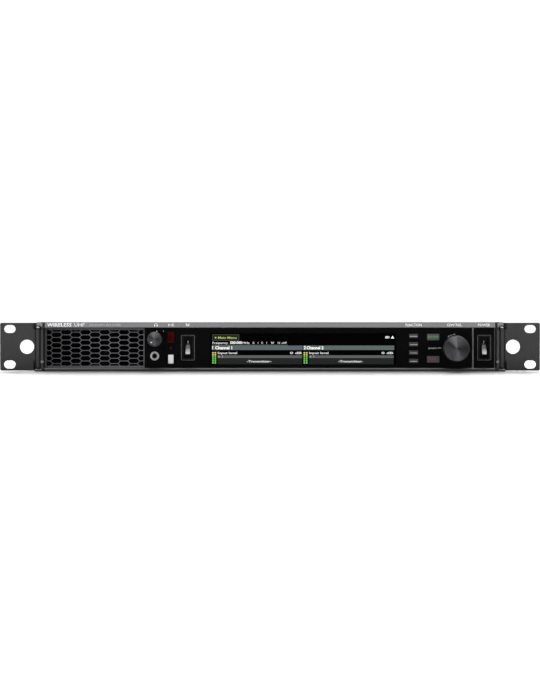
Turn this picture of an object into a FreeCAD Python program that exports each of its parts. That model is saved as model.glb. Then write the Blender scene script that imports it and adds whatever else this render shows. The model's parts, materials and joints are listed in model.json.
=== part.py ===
import FreeCAD, Part
import math
import os
from FreeCAD import Vector

# A one-rack-unit wireless receiver: steel tray and cover, cast front bezel, black fascia with a wide
# display, honeycomb air intake, knobs, push buttons and guarded levers, bolt-on rack ears, and the
# boards, fans and rear sockets inside. Millimetres, +Z up, the front looks along -Y, and the origin is
# at the centre of the underside.

# ---- Driving dimensions -------------------------------------------------------------------------
PANEL_WIDTH = 482.6          # 19-inch rack panel
UNIT_HEIGHT = 44.0           # one rack unit, less the gap to the next one
OVERALL_DEPTH = 343.0        # front of the control knob to the tips of the antenna sockets
RACK_SLOT_SPACING_X = 465.1
RACK_SLOT_SPACING_Z = 31.75
KNOB_REACH = 16.0            # the control knob's front face stands this far out of the fascia
SOCKET_REACH = 12.0          # the antenna sockets stand this far out of the rear panel
MID_Z = UNIT_HEIGHT / 2
FASCIA_Y = -OVERALL_DEPTH / 2 + KNOB_REACH
REAR_Y = OVERALL_DEPTH / 2 - SOCKET_REACH
SHEET = 1.2                  # tray and cover sheet
BODY_HALF = 205.4            # half the width of the tray
BEZEL_HALF = 201.1           # half the width of the bezel
FASCIA_THICK = 2.5
WALL_DEPTH = 6.0             # the tray's front wall starts this far behind the fascia's face
FIT = 0.15                   # gap round a piece that moves in the fascia

# Heights of the fascia's opening in the bezel
OPENING_Z = (3.1, 38.9)

# Places of the controls on the fascia
PHONES_X = -103.0
VOLUME_Z = 28.7
PHONES_Z = 13.8
SYNC_X = -88.5
SYNC_WINDOW_Z = 30.4
SYNC_LED_Z = 20.9
SYNC_BUTTON_Z = 11.0
RF_SWITCH_X = -73.3
SWITCH_Z = 21.2
DISPLAY_X = (-53.3, 112.7)
DISPLAY_Z = (5.7, 34.1)
FUNCTION_X = 128.2
FUNCTION_TOP_Z = 31.7
FUNCTION_PITCH = 7.43
FUNCTION_COUNT = 4
KEY_X = 145.7
ENTER_Z = 30.7
EXIT_Z = 10.8
CONTROL_X = 166.1
CONTROL_Z = 20.3
DIVIDER_X = 181.1
POWER_SWITCH_X = 191.2
GRILLE_X = (-200.0, -112.1)
FASCIA_X = (-111.9, 180.4)
POWER_FASCIA_X = (181.8, 200.0)

# Width and height of the push buttons' faces
FUNCTION_SIZE = (7.9, 3.6)
KEY_SIZE = (10.9, 5.7)
SYNC_BUTTON_SIZE = (4.7, 7.9)
SYNC_WINDOW_SIZE = (5.5, 9.5)

BOARD_DEPTH = 11.0           # front board's front face
BOARD_THICK = 1.6
MAIN_BOARD_Z = 7.0           # underside of the main board

ALONG_X = Vector(1, 0, 0)
ALONG_Y = Vector(0, 1, 0)
ALONG_Z = Vector(0, 0, 1)


# ---- Helpers ------------------------------------------------------------------------------------
def behind(d):
    """Y of a plane d behind the fascia's front face; minus is in front of it."""
    return FASCIA_Y + d


def block(x, y, z):
    """A box between (low, high) pairs."""
    return Part.makeBox(x[1] - x[0], y[1] - y[0], z[1] - z[0], Vector(x[0], y[0], z[0]))


def front_block(x, d, z):
    """A box whose Y is given as depths behind the fascia's face."""
    return block(x, (behind(d[0]), behind(d[1])), z)


def front_pad(x, z, size, d, grow=0.0):
    """A box of a (width, height) size centred on x and z, made larger by grow on every side."""
    half_x = size[0] / 2 + grow
    half_z = size[1] / 2 + grow
    return front_block((x - half_x, x + half_x), d, (z - half_z, z + half_z))


def edges_along(shape, axis):
    """The straight edges of a shape that run along an axis."""
    found = []
    for edge in shape.Edges:
        run = edge.Vertexes[-1].Point - edge.Vertexes[0].Point
        if run.Length > 1e-6 and run.cross(axis).Length < 1e-6:
            found.append(edge)
    return found


def rounded(shape, radius, axis=ALONG_Y):
    """A shape with its edges along one axis rounded."""
    return shape.makeFillet(radius, edges_along(shape, axis))


def rounded_block(x, y, z, radius, axis=ALONG_Y):
    return rounded(block(x, y, z), radius, axis)


def rod_x(y, z, radius, x0, x1):
    return Part.makeCylinder(radius, x1 - x0, Vector(x0, y, z), ALONG_X)


def rod_y(x, z, radius, y0, y1):
    return Part.makeCylinder(radius, y1 - y0, Vector(x, y0, z), ALONG_Y)


def rod_z(x, y, radius, z0, z1):
    return Part.makeCylinder(radius, z1 - z0, Vector(x, y, z0), ALONG_Z)


def front_rod(x, z, radius, d0, d1):
    """A rod along Y between two depths behind the fascia's face."""
    return rod_y(x, z, radius, behind(d0), behind(d1))


def prism_x(outline, x0, x1):
    """Extrudes an outline of (depth behind the fascia, z) points along X."""
    points = [Vector(x0, behind(d), z) for d, z in outline]
    return Part.Face(Part.makePolygon(points + points[:1])).extrude(ALONG_X * (x1 - x0))


def prism_y(outline, y0, y1):
    """Extrudes an outline of (x, z) points along Y."""
    points = [Vector(x, y0, z) for x, z in outline]
    return Part.Face(Part.makePolygon(points + points[:1])).extrude(ALONG_Y * (y1 - y0))


def turned_y(x, z, profile):
    """Spins an outline of (radius, y) points about a line along Y."""
    points = [Vector(x + r, y, z) for r, y in profile]
    face = Part.Face(Part.makePolygon(points + points[:1]))
    return face.revolve(Vector(x, 0, z), ALONG_Y, 360)


def hexagon(across_flats, centre_x, centre_z, y0, y1):
    """A hexagonal prism along Y."""
    r = across_flats / math.sqrt(3)
    turns = [math.radians(60 * i + 30) for i in range(6)]
    return prism_y([(centre_x + r * math.cos(t), centre_z + r * math.sin(t)) for t in turns], y0, y1)


def mirrored(shape):
    return shape.mirror(Vector(0, 0, 0), ALONG_X)


def fuse(*shapes):
    joined = shapes[0].fuse(list(shapes[1:]))
    return joined.removeSplitter()


def front_edges(shape, y):
    """The edges that lie in the plane at this Y."""
    return [e for e in shape.Edges if all(abs(v.Point.y - y) < 1e-6 for v in e.Vertexes)]


def save(name, *solids):
    """Writes one node's solids to its STEP file."""
    shape = solids[0] if len(solids) == 1 else Part.makeCompound(list(solids))
    for solid in shape.Solids:
        if not solid.isValid():
            print("not valid:", name)
    shape.exportStep(os.path.join("parts", name + ".step"))


def countersunk_screw(length, head_radius, head_height, shank_radius, drive):
    """A flat-head screw along -Z with its head's top at the origin and a hexagon socket."""
    rim = 0.15
    point = 0.4
    socket_depth = 0.7
    profile = [
        (0, 0),
        (head_radius, 0),
        (head_radius, -rim),
        (shank_radius, -head_height),
        (shank_radius, -length + point),
        (shank_radius - point, -length),
        (0, -length),
    ]
    points = [Vector(r, 0, z) for r, z in profile]
    screw = Part.Face(Part.makePolygon(points + points[:1])).revolve(Vector(0, 0, 0), ALONG_Z, 360)
    r = drive / math.sqrt(3)
    turns = [math.radians(60 * i) for i in range(6)]
    corners = [Vector(r * math.cos(turn), r * math.sin(turn), -socket_depth) for turn in turns]
    socket = Part.Face(Part.makePolygon(corners + corners[:1])).extrude(ALONG_Z * (socket_depth + 0.1))
    return screw.cut(socket)


def pan_screw(length, head_radius, head_height, shank_radius, drive):
    """A pan-head screw along -Z with the underside of its head at the origin."""
    head = Part.makeCylinder(head_radius, head_height)
    rim = [e for e in head.Edges if e.BoundBox.ZMin > head_height - 0.01]
    head = head.makeFillet(head_height * 0.45, rim)
    shank = Part.makeCylinder(shank_radius, length, Vector(0, 0, -length))
    half_slot = 0.3
    deep = (head_height - 0.8, head_height + 0.1)
    slots = [
        block((-drive / 2, drive / 2), (-half_slot, half_slot), deep),
        block((-half_slot, half_slot), (-drive / 2, drive / 2), deep),
    ]
    return fuse(head, shank).cut(slots)


def placed(shape, at, axis):
    """A copy of a +Z shape turned so that +Z points along axis, then moved."""
    copy = shape.copy()
    copy.Placement = FreeCAD.Placement(Vector(*at), FreeCAD.Rotation(ALONG_Z, Vector(*axis)))
    return copy


# ---- Tray, cover and rear panel -----------------------------------------------------------------
COVER_Z = (UNIT_HEIGHT - SHEET, UNIT_HEIGHT)
WALL_TOP = COVER_Z[0] - 0.1
FLANGE_WIDTH = 8.0
COVER_SCREW_X = BODY_HALF - SHEET - FLANGE_WIDTH / 2
COVER_SCREW_Y = (-135.0, -50.0, 45.0, 135.0)
COVER_SCREW_HOLE = 1.45
VENT_RADIUS = 1.25
VENT_WIDTH = 2.6
SIDE_VENT_Z = ((8.0, 20.0), (24.0, 36.0))
SIDE_VENT_COUNT = 14
SIDE_VENT_PITCH = 8.0
TOP_VENT_X = (-188.0, 84.0)
TOP_VENT_Y = ((40.0, 58.0), (64.0, 82.0))
TOP_VENT_COUNT = 16
TOP_VENT_PITCH = 6.0
EAR_ARM_X = (BODY_HALF + 0.1, BODY_HALF + 3.3)
EAR_SCREW_DEPTH = (28.0, 96.0)
EAR_SCREW_Z = (10.0, 32.0)
EAR_SCREW_HOLE = 1.95
REAR_THICK = 1.5
SWITCH_BODY = (11.2, 21.5)


def switch_body(x, grow=0.0):
    """The part of a lever switch's housing that goes through the fascia and the front wall."""
    return front_pad(x, SWITCH_Z, SWITCH_BODY, (0.0, 10.9), grow)


def function_button_z(i):
    return FUNCTION_TOP_Z - i * FUNCTION_PITCH


def front_wall_cuts():
    """What the tray's front wall is open for: the intake, and each control."""
    d = (WALL_DEPTH - 0.5, WALL_DEPTH + SHEET + 0.5)
    rows = [
        ((GRILLE_X[0] + 2.5, GRILLE_X[1] - 2.5), (5.0, 37.5)),
        ((PHONES_X - 6.0, PHONES_X + 6.0), (PHONES_Z - 5.0, VOLUME_Z + 6.0)),
        ((SYNC_X - 4.0, SYNC_X + 4.0), (SYNC_BUTTON_Z - 5.5, SYNC_WINDOW_Z + 5.5)),
        ((DISPLAY_X[0] - 2.4, DISPLAY_X[1] + 2.4), (DISPLAY_Z[0] - 1.6, DISPLAY_Z[1] + 2.4)),
        ((FUNCTION_X - 5.5, FUNCTION_X + 5.5), (5.5, 36.0)),
        ((KEY_X - 6.8, KEY_X + 6.8), (5.5, 36.0)),
        ((CONTROL_X - 4.2, CONTROL_X + 4.2), (CONTROL_Z - 4.2, CONTROL_Z + 4.2)),
    ]
    cuts = [front_block(x, d, z) for x, z in rows]
    return cuts + [switch_body(RF_SWITCH_X, 0.3), switch_body(POWER_SWITCH_X, 0.3)]


def side_vents():
    """Two rows of upright slots in each side wall, towards the rear."""
    slots = []
    x = (BODY_HALF - SHEET - 1, BODY_HALF + 1)
    for row_z in SIDE_VENT_Z:
        for i in range(SIDE_VENT_COUNT):
            y = 10.0 + i * SIDE_VENT_PITCH
            slot = rounded_block(x, (y, y + VENT_WIDTH), row_z, VENT_RADIUS, ALONG_X)
            slots += [slot, mirrored(slot)]
    return slots


def make_tray():
    y = (behind(WALL_DEPTH), REAR_Y)
    floor = block((-BODY_HALF, BODY_HALF), y, (0, SHEET))
    wall = block((BODY_HALF - SHEET, BODY_HALF), y, (0, WALL_TOP))
    flange_y = (y[0], REAR_Y - REAR_THICK - 0.1)
    flange = block((BODY_HALF - SHEET - FLANGE_WIDTH, BODY_HALF), flange_y, (WALL_TOP - SHEET, WALL_TOP))
    front = front_block((-BODY_HALF, BODY_HALF), (WALL_DEPTH, WALL_DEPTH + SHEET), (0, WALL_TOP))
    tray = fuse(floor, wall, mirrored(wall), flange, mirrored(flange), front)
    cuts = front_wall_cuts() + side_vents()
    for screw_y in COVER_SCREW_Y:
        hole = rod_z(COVER_SCREW_X, screw_y, COVER_SCREW_HOLE, WALL_TOP - 3, WALL_TOP + 1)
        cuts += [hole, mirrored(hole)]
    for d in EAR_SCREW_DEPTH:
        for z in EAR_SCREW_Z:
            hole = rod_x(behind(d), z, EAR_SCREW_HOLE, BODY_HALF - 3, BODY_HALF + 1)
            cuts += [hole, mirrored(hole)]
    return tray.cut(cuts)


def make_cover():
    """Flat lid with countersunk holes down each side and two fields of vents towards the rear."""
    cover = block((-BODY_HALF, BODY_HALF), (behind(WALL_DEPTH) + 0.1, REAR_Y), COVER_Z)
    corners = [e for e in edges_along(cover, ALONG_Z) if e.Vertexes[0].Point.y > 0]
    cover = cover.makeFillet(2.0, corners)
    through = (COVER_Z[0] - 1, COVER_Z[1] + 1)
    sink = 1.1
    cuts = []
    for y in COVER_SCREW_Y:
        hole = rod_z(COVER_SCREW_X, y, 1.5, *through)
        cone = Part.makeCone(1.5, 2.65, sink, Vector(COVER_SCREW_X, y, COVER_Z[1] - sink))
        cuts += [hole, cone, mirrored(hole), mirrored(cone)]
    for field_x in TOP_VENT_X:
        for row_y in TOP_VENT_Y:
            for i in range(TOP_VENT_COUNT):
                x = field_x + i * TOP_VENT_PITCH
                cuts.append(rounded_block((x, x + VENT_WIDTH), row_y, through, VENT_RADIUS, ALONG_Z))
    return cover.cut(cuts)


def make_cover_screws():
    screw = countersunk_screw(5.5, 2.4, 1.0, 1.4, 1.9)
    spots = [(side * COVER_SCREW_X, y, COVER_Z[1]) for side in (-1, 1) for y in COVER_SCREW_Y]
    return [placed(screw, spot, (0, 0, 1)) for spot in spots]


# ---- Bezel, end caps, fascia, grille ------------------------------------------------------------
BEZEL_FRONT = -1.5


def make_bezel():
    """Sloped top strip for the legends, lower lip, and a thin post at each end."""
    top = prism_x([(BEZEL_FRONT, 39.0), (BEZEL_FRONT, 39.4), (2.7, 43.75), (3.3, UNIT_HEIGHT),
                   (WALL_DEPTH, UNIT_HEIGHT), (WALL_DEPTH, 39.0)], -BEZEL_HALF, BEZEL_HALF)
    lip = prism_x([(BEZEL_FRONT, 0.4), (BEZEL_FRONT, 2.1), (BEZEL_FRONT + 0.9, 3.0), (WALL_DEPTH, 3.0),
                   (WALL_DEPTH, 0.0), (BEZEL_FRONT + 0.4, 0.0)], -BEZEL_HALF, BEZEL_HALF)
    post = front_block((BEZEL_HALF - 1.0, BEZEL_HALF), (-0.6, WALL_DEPTH), (2.0, 40.0))
    return fuse(top, lip, post, mirrored(post))


def make_end_cap():
    """Right-hand end cap: a post with a raised bead, and a wing over and under the ear's arm."""
    rear = WALL_DEPTH - 0.1
    body = front_block((202.1, 204.7), (1.5, rear), (0.0, 43.9))
    tab = front_block((BEZEL_HALF, 202.2), (4.0, rear), (4.0, 40.0))
    head = prism_x([(-0.6, 40.9), (-0.6, 41.0), (2.2, 43.9), (rear, 43.9), (rear, 40.9)], 203.2, 208.4)
    cheek = prism_x([(-1.4, 39.6), (-1.4, 40.1), (2.2, 43.9), (rear, 43.9), (rear, 39.6)], 203.2, 204.7)
    shoe = prism_x([(-1.6, 0.0), (-1.6, 0.5), (-0.6, 1.15), (rear, 1.15), (rear, 0.0)], 203.6, 210.0)
    bead_outline = [(1.6, 38.0), (0.4, 38.0), (-0.2, 36.8), (-0.2, 9.6), (-1.9, 7.8), (-1.9, 7.2), (1.6, 7.2)]
    bead = prism_x(bead_outline, 202.1, 204.7)
    return fuse(body, tab, head, cheek, shoe, bead)


def fascia_cuts():
    """The holes through the main fascia, each a little larger than what comes through."""
    d = (-1.0, FASCIA_THICK + 1.0)
    cuts = [
        front_rod(PHONES_X, VOLUME_Z, 4.2, *d),
        front_rod(PHONES_X, PHONES_Z, 3.05, *d),
        rounded(front_pad(SYNC_X, SYNC_WINDOW_Z, SYNC_WINDOW_SIZE, d, FIT), 0.8),
        front_rod(SYNC_X, SYNC_LED_Z, 1.15, *d),
        switch_body(RF_SWITCH_X, 0.1),
        front_block(DISPLAY_X, d, DISPLAY_Z),
        front_rod(CONTROL_X, CONTROL_Z, 4.2, *d),
    ]
    cuts += [rounded(front_pad(x, z, size, d, FIT), 0.5) for _, x, z, size in button_places()]
    return cuts


def make_fascia():
    panel = front_block(FASCIA_X, (0, FASCIA_THICK), OPENING_Z)
    return panel.cut(fascia_cuts())


def make_power_fascia():
    panel = front_block(POWER_FASCIA_X, (0, FASCIA_THICK), OPENING_Z)
    return panel.cut(switch_body(POWER_SWITCH_X, 0.1))


def make_divider():
    strip = front_block((DIVIDER_X - 0.6, DIVIDER_X + 0.6), (-0.45, FASCIA_THICK), OPENING_Z)
    return strip.makeChamfer(0.2, edges_along(strip, ALONG_Z)[:2])


# Honeycomb: cells drawn out sideways, in columns that alternate by half a cell
CELL_FLAT = 6.47             # length of a cell's level wall, between wall centres
CELL_SLANT = 2.15            # sideways run of a slanted wall
CELL_PITCH_Z = 4.67
CELL_WALL = 0.68
CELL_ORIGIN_X = -182.05
CELL_ORIGIN_Z = 21.0
CELL_FIELD_X = (-199.3, -113.0)
CELL_FIELD_Z = (5.05, 36.95)
GRILLE_DEPTH = (0.5, 2.3)


def make_grille():
    window = front_block(CELL_FIELD_X, (GRILLE_DEPTH[0] - 1, GRILLE_DEPTH[1] + 1), CELL_FIELD_Z)
    pitch_x = CELL_FLAT + CELL_SLANT
    slope = math.atan2(CELL_PITCH_Z / 2, CELL_SLANT)
    half_z = CELL_PITCH_Z / 2 - CELL_WALL / 2
    tip = CELL_FLAT / 2 + CELL_SLANT - CELL_WALL / 2 / math.sin(slope)
    shoulder = tip - half_z / math.tan(slope)
    y = (behind(GRILLE_DEPTH[0] - 0.5), behind(GRILLE_DEPTH[1] + 0.5))
    cells = []
    for column in range(-3, 10):
        x = CELL_ORIGIN_X + column * pitch_x
        offset = 0.5 * (column % 2)
        for row in range(-5, 5):
            z = CELL_ORIGIN_Z + (row + offset) * CELL_PITCH_Z
            if z - half_z > CELL_FIELD_Z[1] or z + half_z < CELL_FIELD_Z[0]:
                continue
            cells.append(prism_y([(x - tip, z), (x - shoulder, z + half_z), (x + shoulder, z + half_z),
                                  (x + tip, z), (x + shoulder, z - half_z), (x - shoulder, z - half_z)], *y))
    plate = front_block(GRILLE_X, GRILLE_DEPTH, OPENING_Z)
    return plate.cut(Part.makeCompound(cells).common(window))


def make_filter():
    pad = front_block((GRILLE_X[0] + 0.4, GRILLE_X[1] - 0.4), (2.6, 5.8), (3.6, 38.4))
    return pad.makeFillet(0.8, edges_along(pad, ALONG_Y))


# ---- Rack ears ----------------------------------------------------------------------------------
EAR_PLATE_DEPTH = (3.0, 6.0)
EAR_PLATE_Z = (0.6, 43.4)
EAR_PLATE_X = (211.5, PANEL_WIDTH / 2)
EAR_TONGUE_Z = (9.3, 37.6)
EAR_GUSSET_DEPTH = (5.9, 7.5)
EAR_GUSSET_Z = ((EAR_PLATE_Z[0], 10.0), (37.0, EAR_PLATE_Z[1]))
EAR_GROOVE = (0.4, 1.2)      # bend line beside the arm, as distances out of it
EAR_ARM_Z = (1.4, 40.4)
EAR_ARM_FRONT = 1.2
EAR_ARM_END = 118.0
ANTENNA_HOLE_X = 217.2
ANTENNA_HOLE_R = 6.35
SLOT_LENGTH = 10.3
SLOT_WIDTH = 7.1


def rack_slot(z):
    """A level slot for a rack screw: a bar with round ends."""
    x = RACK_SLOT_SPACING_X / 2
    reach = (SLOT_LENGTH - SLOT_WIDTH) / 2
    through = (0, 10)
    middle = front_pad(x, z, (2 * reach, SLOT_WIDTH), through)
    ends = [front_rod(x + side * reach, z, SLOT_WIDTH / 2, *through) for side in (-1, 1)]
    return middle.fuse(ends)


def make_ear_arm():
    """The arm along the tray's side, with large rounded corners and a softened front edge."""
    arm = front_block(EAR_ARM_X, (EAR_ARM_FRONT, EAR_ARM_END), EAR_ARM_Z)
    middle = behind((EAR_ARM_FRONT + EAR_ARM_END) / 2)
    end = behind(EAR_ARM_END) - 0.1
    arm = arm.makeFillet(3.6, [e for e in edges_along(arm, ALONG_X) if e.BoundBox.YMin < middle])
    arm = arm.makeFillet(8.0, [e for e in edges_along(arm, ALONG_X) if e.BoundBox.YMin > end])
    lips = [e for e in arm.Edges if e.BoundBox.YMax < behind(8) and e.BoundBox.XLength < 0.01]
    return arm.makeFillet(0.8, lips)


def make_ear():
    """Right-hand ear: a slotted plate on an arm, joined by a tongue, with a gusset behind each corner."""
    y = (behind(EAR_PLATE_DEPTH[0]), behind(EAR_PLATE_DEPTH[1]))
    plate = rounded_block(EAR_PLATE_X, y, EAR_PLATE_Z, 1.6)
    square = front_block((EAR_PLATE_X[0], EAR_PLATE_X[0] + 2.5), EAR_PLATE_DEPTH, EAR_PLATE_Z)
    tongue = front_block((EAR_ARM_X[0] + 1, EAR_PLATE_X[0] + 0.5), EAR_PLATE_DEPTH, EAR_TONGUE_Z)
    gussets = [front_block((EAR_ARM_X[0], EAR_PLATE_X[0] + 1.5), EAR_GUSSET_DEPTH, z) for z in EAR_GUSSET_Z]
    ear = fuse(plate, square, tongue, make_ear_arm(), *gussets)
    groove_x = (EAR_ARM_X[1] + EAR_GROOVE[0], EAR_ARM_X[1] + EAR_GROOVE[1])
    groove = front_block(groove_x, (EAR_PLATE_DEPTH[0] - 1, EAR_PLATE_DEPTH[0] + 0.9), EAR_TONGUE_Z)
    cuts = [groove, front_rod(ANTENNA_HOLE_X, MID_Z, ANTENNA_HOLE_R, 0, 10)]
    cuts += [rack_slot(MID_Z + side * RACK_SLOT_SPACING_Z / 2) for side in (-1, 1)]
    sink = 2.2
    for d in EAR_SCREW_DEPTH:
        for z in EAR_SCREW_Z:
            cuts.append(rod_x(behind(d), z, 2.05, EAR_ARM_X[0] - 1, EAR_ARM_X[1] + 1))
            cuts.append(Part.makeCone(2.05, 4.0, sink, Vector(EAR_ARM_X[1] - sink, behind(d), z), ALONG_X))
    return ear.cut(cuts)


def make_ear_screws():
    screw = countersunk_screw(7.5, 3.7, 2.1, 1.9, 2.5)
    found = []
    for side in (-1, 1):
        for d in EAR_SCREW_DEPTH:
            for z in EAR_SCREW_Z:
                found.append(placed(screw, (side * (EAR_ARM_X[1] - 0.05), behind(d), z), (side, 0, 0)))
    return found


# ---- Knobs, pot and encoder ---------------------------------------------------------------------
VOLUME_RADIUS = 6.75
VOLUME_REACH = 10.5
CONTROL_RADIUS = 11.85
SHAFT_RADIUS = 3.0
BUSH_BORE = 3.06


def make_knob(x, z, radius, rear_gap, reach, grooves, shaft_tip):
    """A turned knob: skirt, fluted side, chamfered rim and shallow dished face, bored for its shaft."""
    rear = behind(-rear_gap)
    face = behind(-reach)
    profile = [
        (SHAFT_RADIUS + 0.02, rear),
        (radius, rear),
        (radius, rear - 1.6),
        (radius - 0.35, rear - 2.0),
        (radius - 0.45, face + 0.9),
        (radius - 1.1, face),
        (radius - 1.7, face),
        (radius - 2.0, face + 0.12),
        (0, face + 0.25),
        (0, behind(shaft_tip)),
        (SHAFT_RADIUS + 0.02, behind(shaft_tip)),
    ]
    knob = turned_y(x, z, profile)
    flutes = []
    for i in range(grooves):
        turn = 2 * math.pi * i / grooves
        flute_x = x + radius * math.cos(turn)
        flute_z = z + radius * math.sin(turn)
        flutes.append(rod_y(flute_x, flute_z, 0.6, face + 1.2, rear - 2.2))
    return knob.cut(flutes)


def make_volume():
    """Knob, shaft and pot. The knob's dot sits at seven o'clock, where the volume is lowest."""
    knob = make_knob(PHONES_X, VOLUME_Z, VOLUME_RADIUS, 0.8, VOLUME_REACH, 30, -8.5)
    dot_turn = math.radians(226)
    dot = (PHONES_X + 4.0 * math.cos(dot_turn), VOLUME_Z + 4.0 * math.sin(dot_turn))
    knob = knob.cut(front_rod(dot[0], dot[1], 0.6, -VOLUME_REACH - 1, -VOLUME_REACH + 0.35))
    shaft = front_rod(PHONES_X, VOLUME_Z, SHAFT_RADIUS, -8.5, 8.0)
    bush = front_rod(PHONES_X, VOLUME_Z, 4.0, 0.3, 7.5)
    case = front_pad(PHONES_X, VOLUME_Z, (11.0, 11.6), (7.4, BOARD_DEPTH))
    chamber = front_rod(PHONES_X, VOLUME_Z, BUSH_BORE, 0, 8.2)
    return knob, shaft, fuse(bush, case).cut(chamber)


def make_control():
    """Push-and-turn control: knob and shaft turn, the plunger behind them only slides."""
    knob = make_knob(CONTROL_X, CONTROL_Z, CONTROL_RADIUS, 1.2, KNOB_REACH, 48, -12.5)
    shaft = front_rod(CONTROL_X, CONTROL_Z, SHAFT_RADIUS, -12.5, 8.4)
    plunger = front_rod(CONTROL_X, CONTROL_Z, 4.0, 8.5, 9.3)
    bush = front_rod(CONTROL_X, CONTROL_Z, 3.9, 0.3, 7.5)
    case = front_pad(CONTROL_X, CONTROL_Z, (13.0, 13.0), (7.4, BOARD_DEPTH))
    chamber = front_rod(CONTROL_X, CONTROL_Z, 5.0, 8.1, 10.6)
    bore = front_rod(CONTROL_X, CONTROL_Z, BUSH_BORE, 0, 8.2)
    return knob, shaft, plunger, fuse(bush, case).cut([chamber, bore])


# ---- Push buttons -------------------------------------------------------------------------------
BUTTON_PROUD = 1.1
FUNCTION_SCOOP = 2.2         # radius of the hollow in a function button's face


def make_button(x, z, size, scoop_radius):
    """Cap, rear flange and stem. A scoop radius hollows the face along X, so that it catches the light."""
    front = behind(-BUTTON_PROUD)
    cap = rounded(front_pad(x, z, size, (-BUTTON_PROUD, 2.8)), 0.5)
    cap = cap.makeFillet(0.25, front_edges(cap, front))
    flange = front_pad(x, z, size, (2.7, 3.6), 0.6)
    stem = front_rod(x, z, 1.2, 3.5, 6.5)
    button = fuse(cap, flange, stem)
    if not scoop_radius:
        return button
    edge = 0.35
    half_chord = size[1] / 2 - edge
    rise = math.sqrt(scoop_radius ** 2 - half_chord ** 2)
    return button.cut(rod_x(front - rise, z, scoop_radius, x - size[0] / 2 + edge, x + size[0] / 2 - edge))


def button_places():
    """Name, x, z and face size of every push button."""
    places = []
    for i in range(FUNCTION_COUNT):
        places.append(("function_button_%d" % (i + 1), FUNCTION_X, function_button_z(i), FUNCTION_SIZE))
    return places + [
        ("enter_button", KEY_X, ENTER_Z, KEY_SIZE),
        ("exit_button", KEY_X, EXIT_Z, KEY_SIZE),
        ("sync_button", SYNC_X, SYNC_BUTTON_Z, SYNC_BUTTON_SIZE),
    ]


def save_buttons():
    bodies = []
    for name, x, z, size in button_places():
        scoop_radius = FUNCTION_SCOOP if size == FUNCTION_SIZE else 0
        save(name, make_button(x, z, size, scoop_radius))
        bodies.append(front_pad(x, z, (6.0, 6.0), (7.5, BOARD_DEPTH)))
    save("button_switches", *bodies)


# ---- Lever switches -----------------------------------------------------------------------------
LEVER_PIVOT_DEPTH = 6.8
LEVER_HUB = 3.3
LEVER_LENGTH = 12.6
LEVER_REST_DEG = 24.0        # below level; the lever's other end of travel is as far above it
LEVER_ROOT = (3.4, 4.2)      # width and thickness at the pivot
LEVER_TIP = (4.0, 2.0)
PIN_RADIUS = 0.75
FLANGE_SIZE = (12.2, 22.6)
WELL_SIZE = (8.3, 18.9)
WELL_DEPTH = 4.6
LEVER_SLOT = (4.3, 7.2)


def make_switch_housing(x):
    """Flanged well round the lever, with a slot for its hub and holes for its pin."""
    flange = rounded(front_pad(x, SWITCH_Z, FLANGE_SIZE, (-0.6, -0.05)), 0.8)
    flange = flange.makeChamfer(0.25, front_edges(flange, behind(-0.6)))
    neck = front_pad(x, SWITCH_Z, SWITCH_BODY, (-0.1, 0.1))
    well = rounded(front_pad(x, SWITCH_Z, WELL_SIZE, (-1, WELL_DEPTH)), 0.5)
    slot = front_pad(x, SWITCH_Z, LEVER_SLOT, (4.0, 10.35))
    return fuse(flange, neck, switch_body(x)).cut([well, slot, make_switch_pin(x)])


def make_lever(x):
    """A paddle on a round hub, wider and thinner towards its tip, drawn level and turned down to rest."""
    pivot = Vector(x, behind(LEVER_PIVOT_DEPTH), SWITCH_Z)
    tip = LEVER_PIVOT_DEPTH - LEVER_LENGTH
    side = prism_x([
        (LEVER_PIVOT_DEPTH, SWITCH_Z - LEVER_ROOT[1] / 2),
        (LEVER_PIVOT_DEPTH, SWITCH_Z + LEVER_ROOT[1] / 2),
        (tip, SWITCH_Z + LEVER_TIP[1] / 2),
        (tip, SWITCH_Z - LEVER_TIP[1] / 2),
    ], x - LEVER_TIP[0], x + LEVER_TIP[0])
    plan = [
        Vector(x - LEVER_ROOT[0] / 2, pivot.y, SWITCH_Z - LEVER_ROOT[1]),
        Vector(x + LEVER_ROOT[0] / 2, pivot.y, SWITCH_Z - LEVER_ROOT[1]),
        Vector(x + LEVER_TIP[0] / 2, behind(tip), SWITCH_Z - LEVER_ROOT[1]),
        Vector(x - LEVER_TIP[0] / 2, behind(tip), SWITCH_Z - LEVER_ROOT[1]),
    ]
    paddle = side.common(Part.Face(Part.makePolygon(plan + plan[:1])).extrude(ALONG_Z * 2 * LEVER_ROOT[1]))
    paddle = paddle.makeFillet(0.6, front_edges(paddle, behind(tip)))
    hub = rod_x(pivot.y, pivot.z, LEVER_HUB, x - LEVER_ROOT[0] / 2, x + LEVER_ROOT[0] / 2)
    bore = rod_x(pivot.y, pivot.z, PIN_RADIUS + 0.05, x - LEVER_TIP[0], x + LEVER_TIP[0])
    lever = fuse(paddle, hub).cut(bore)
    lever.rotate(pivot, ALONG_X, LEVER_REST_DEG)
    return lever


def make_switch_pin(x):
    return rod_x(behind(LEVER_PIVOT_DEPTH), SWITCH_Z, PIN_RADIUS, x - 4.6, x + 4.6)


# ---- Small pieces on the fascia -----------------------------------------------------------------
JACK_BORE = 1.8
RIBBON_HEADER_X = (14.0, 46.0)
FRONT_HEADER_DEPTH = 15.0
MAIN_HEADER_DEPTH = (35.0, 40.0)


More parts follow.
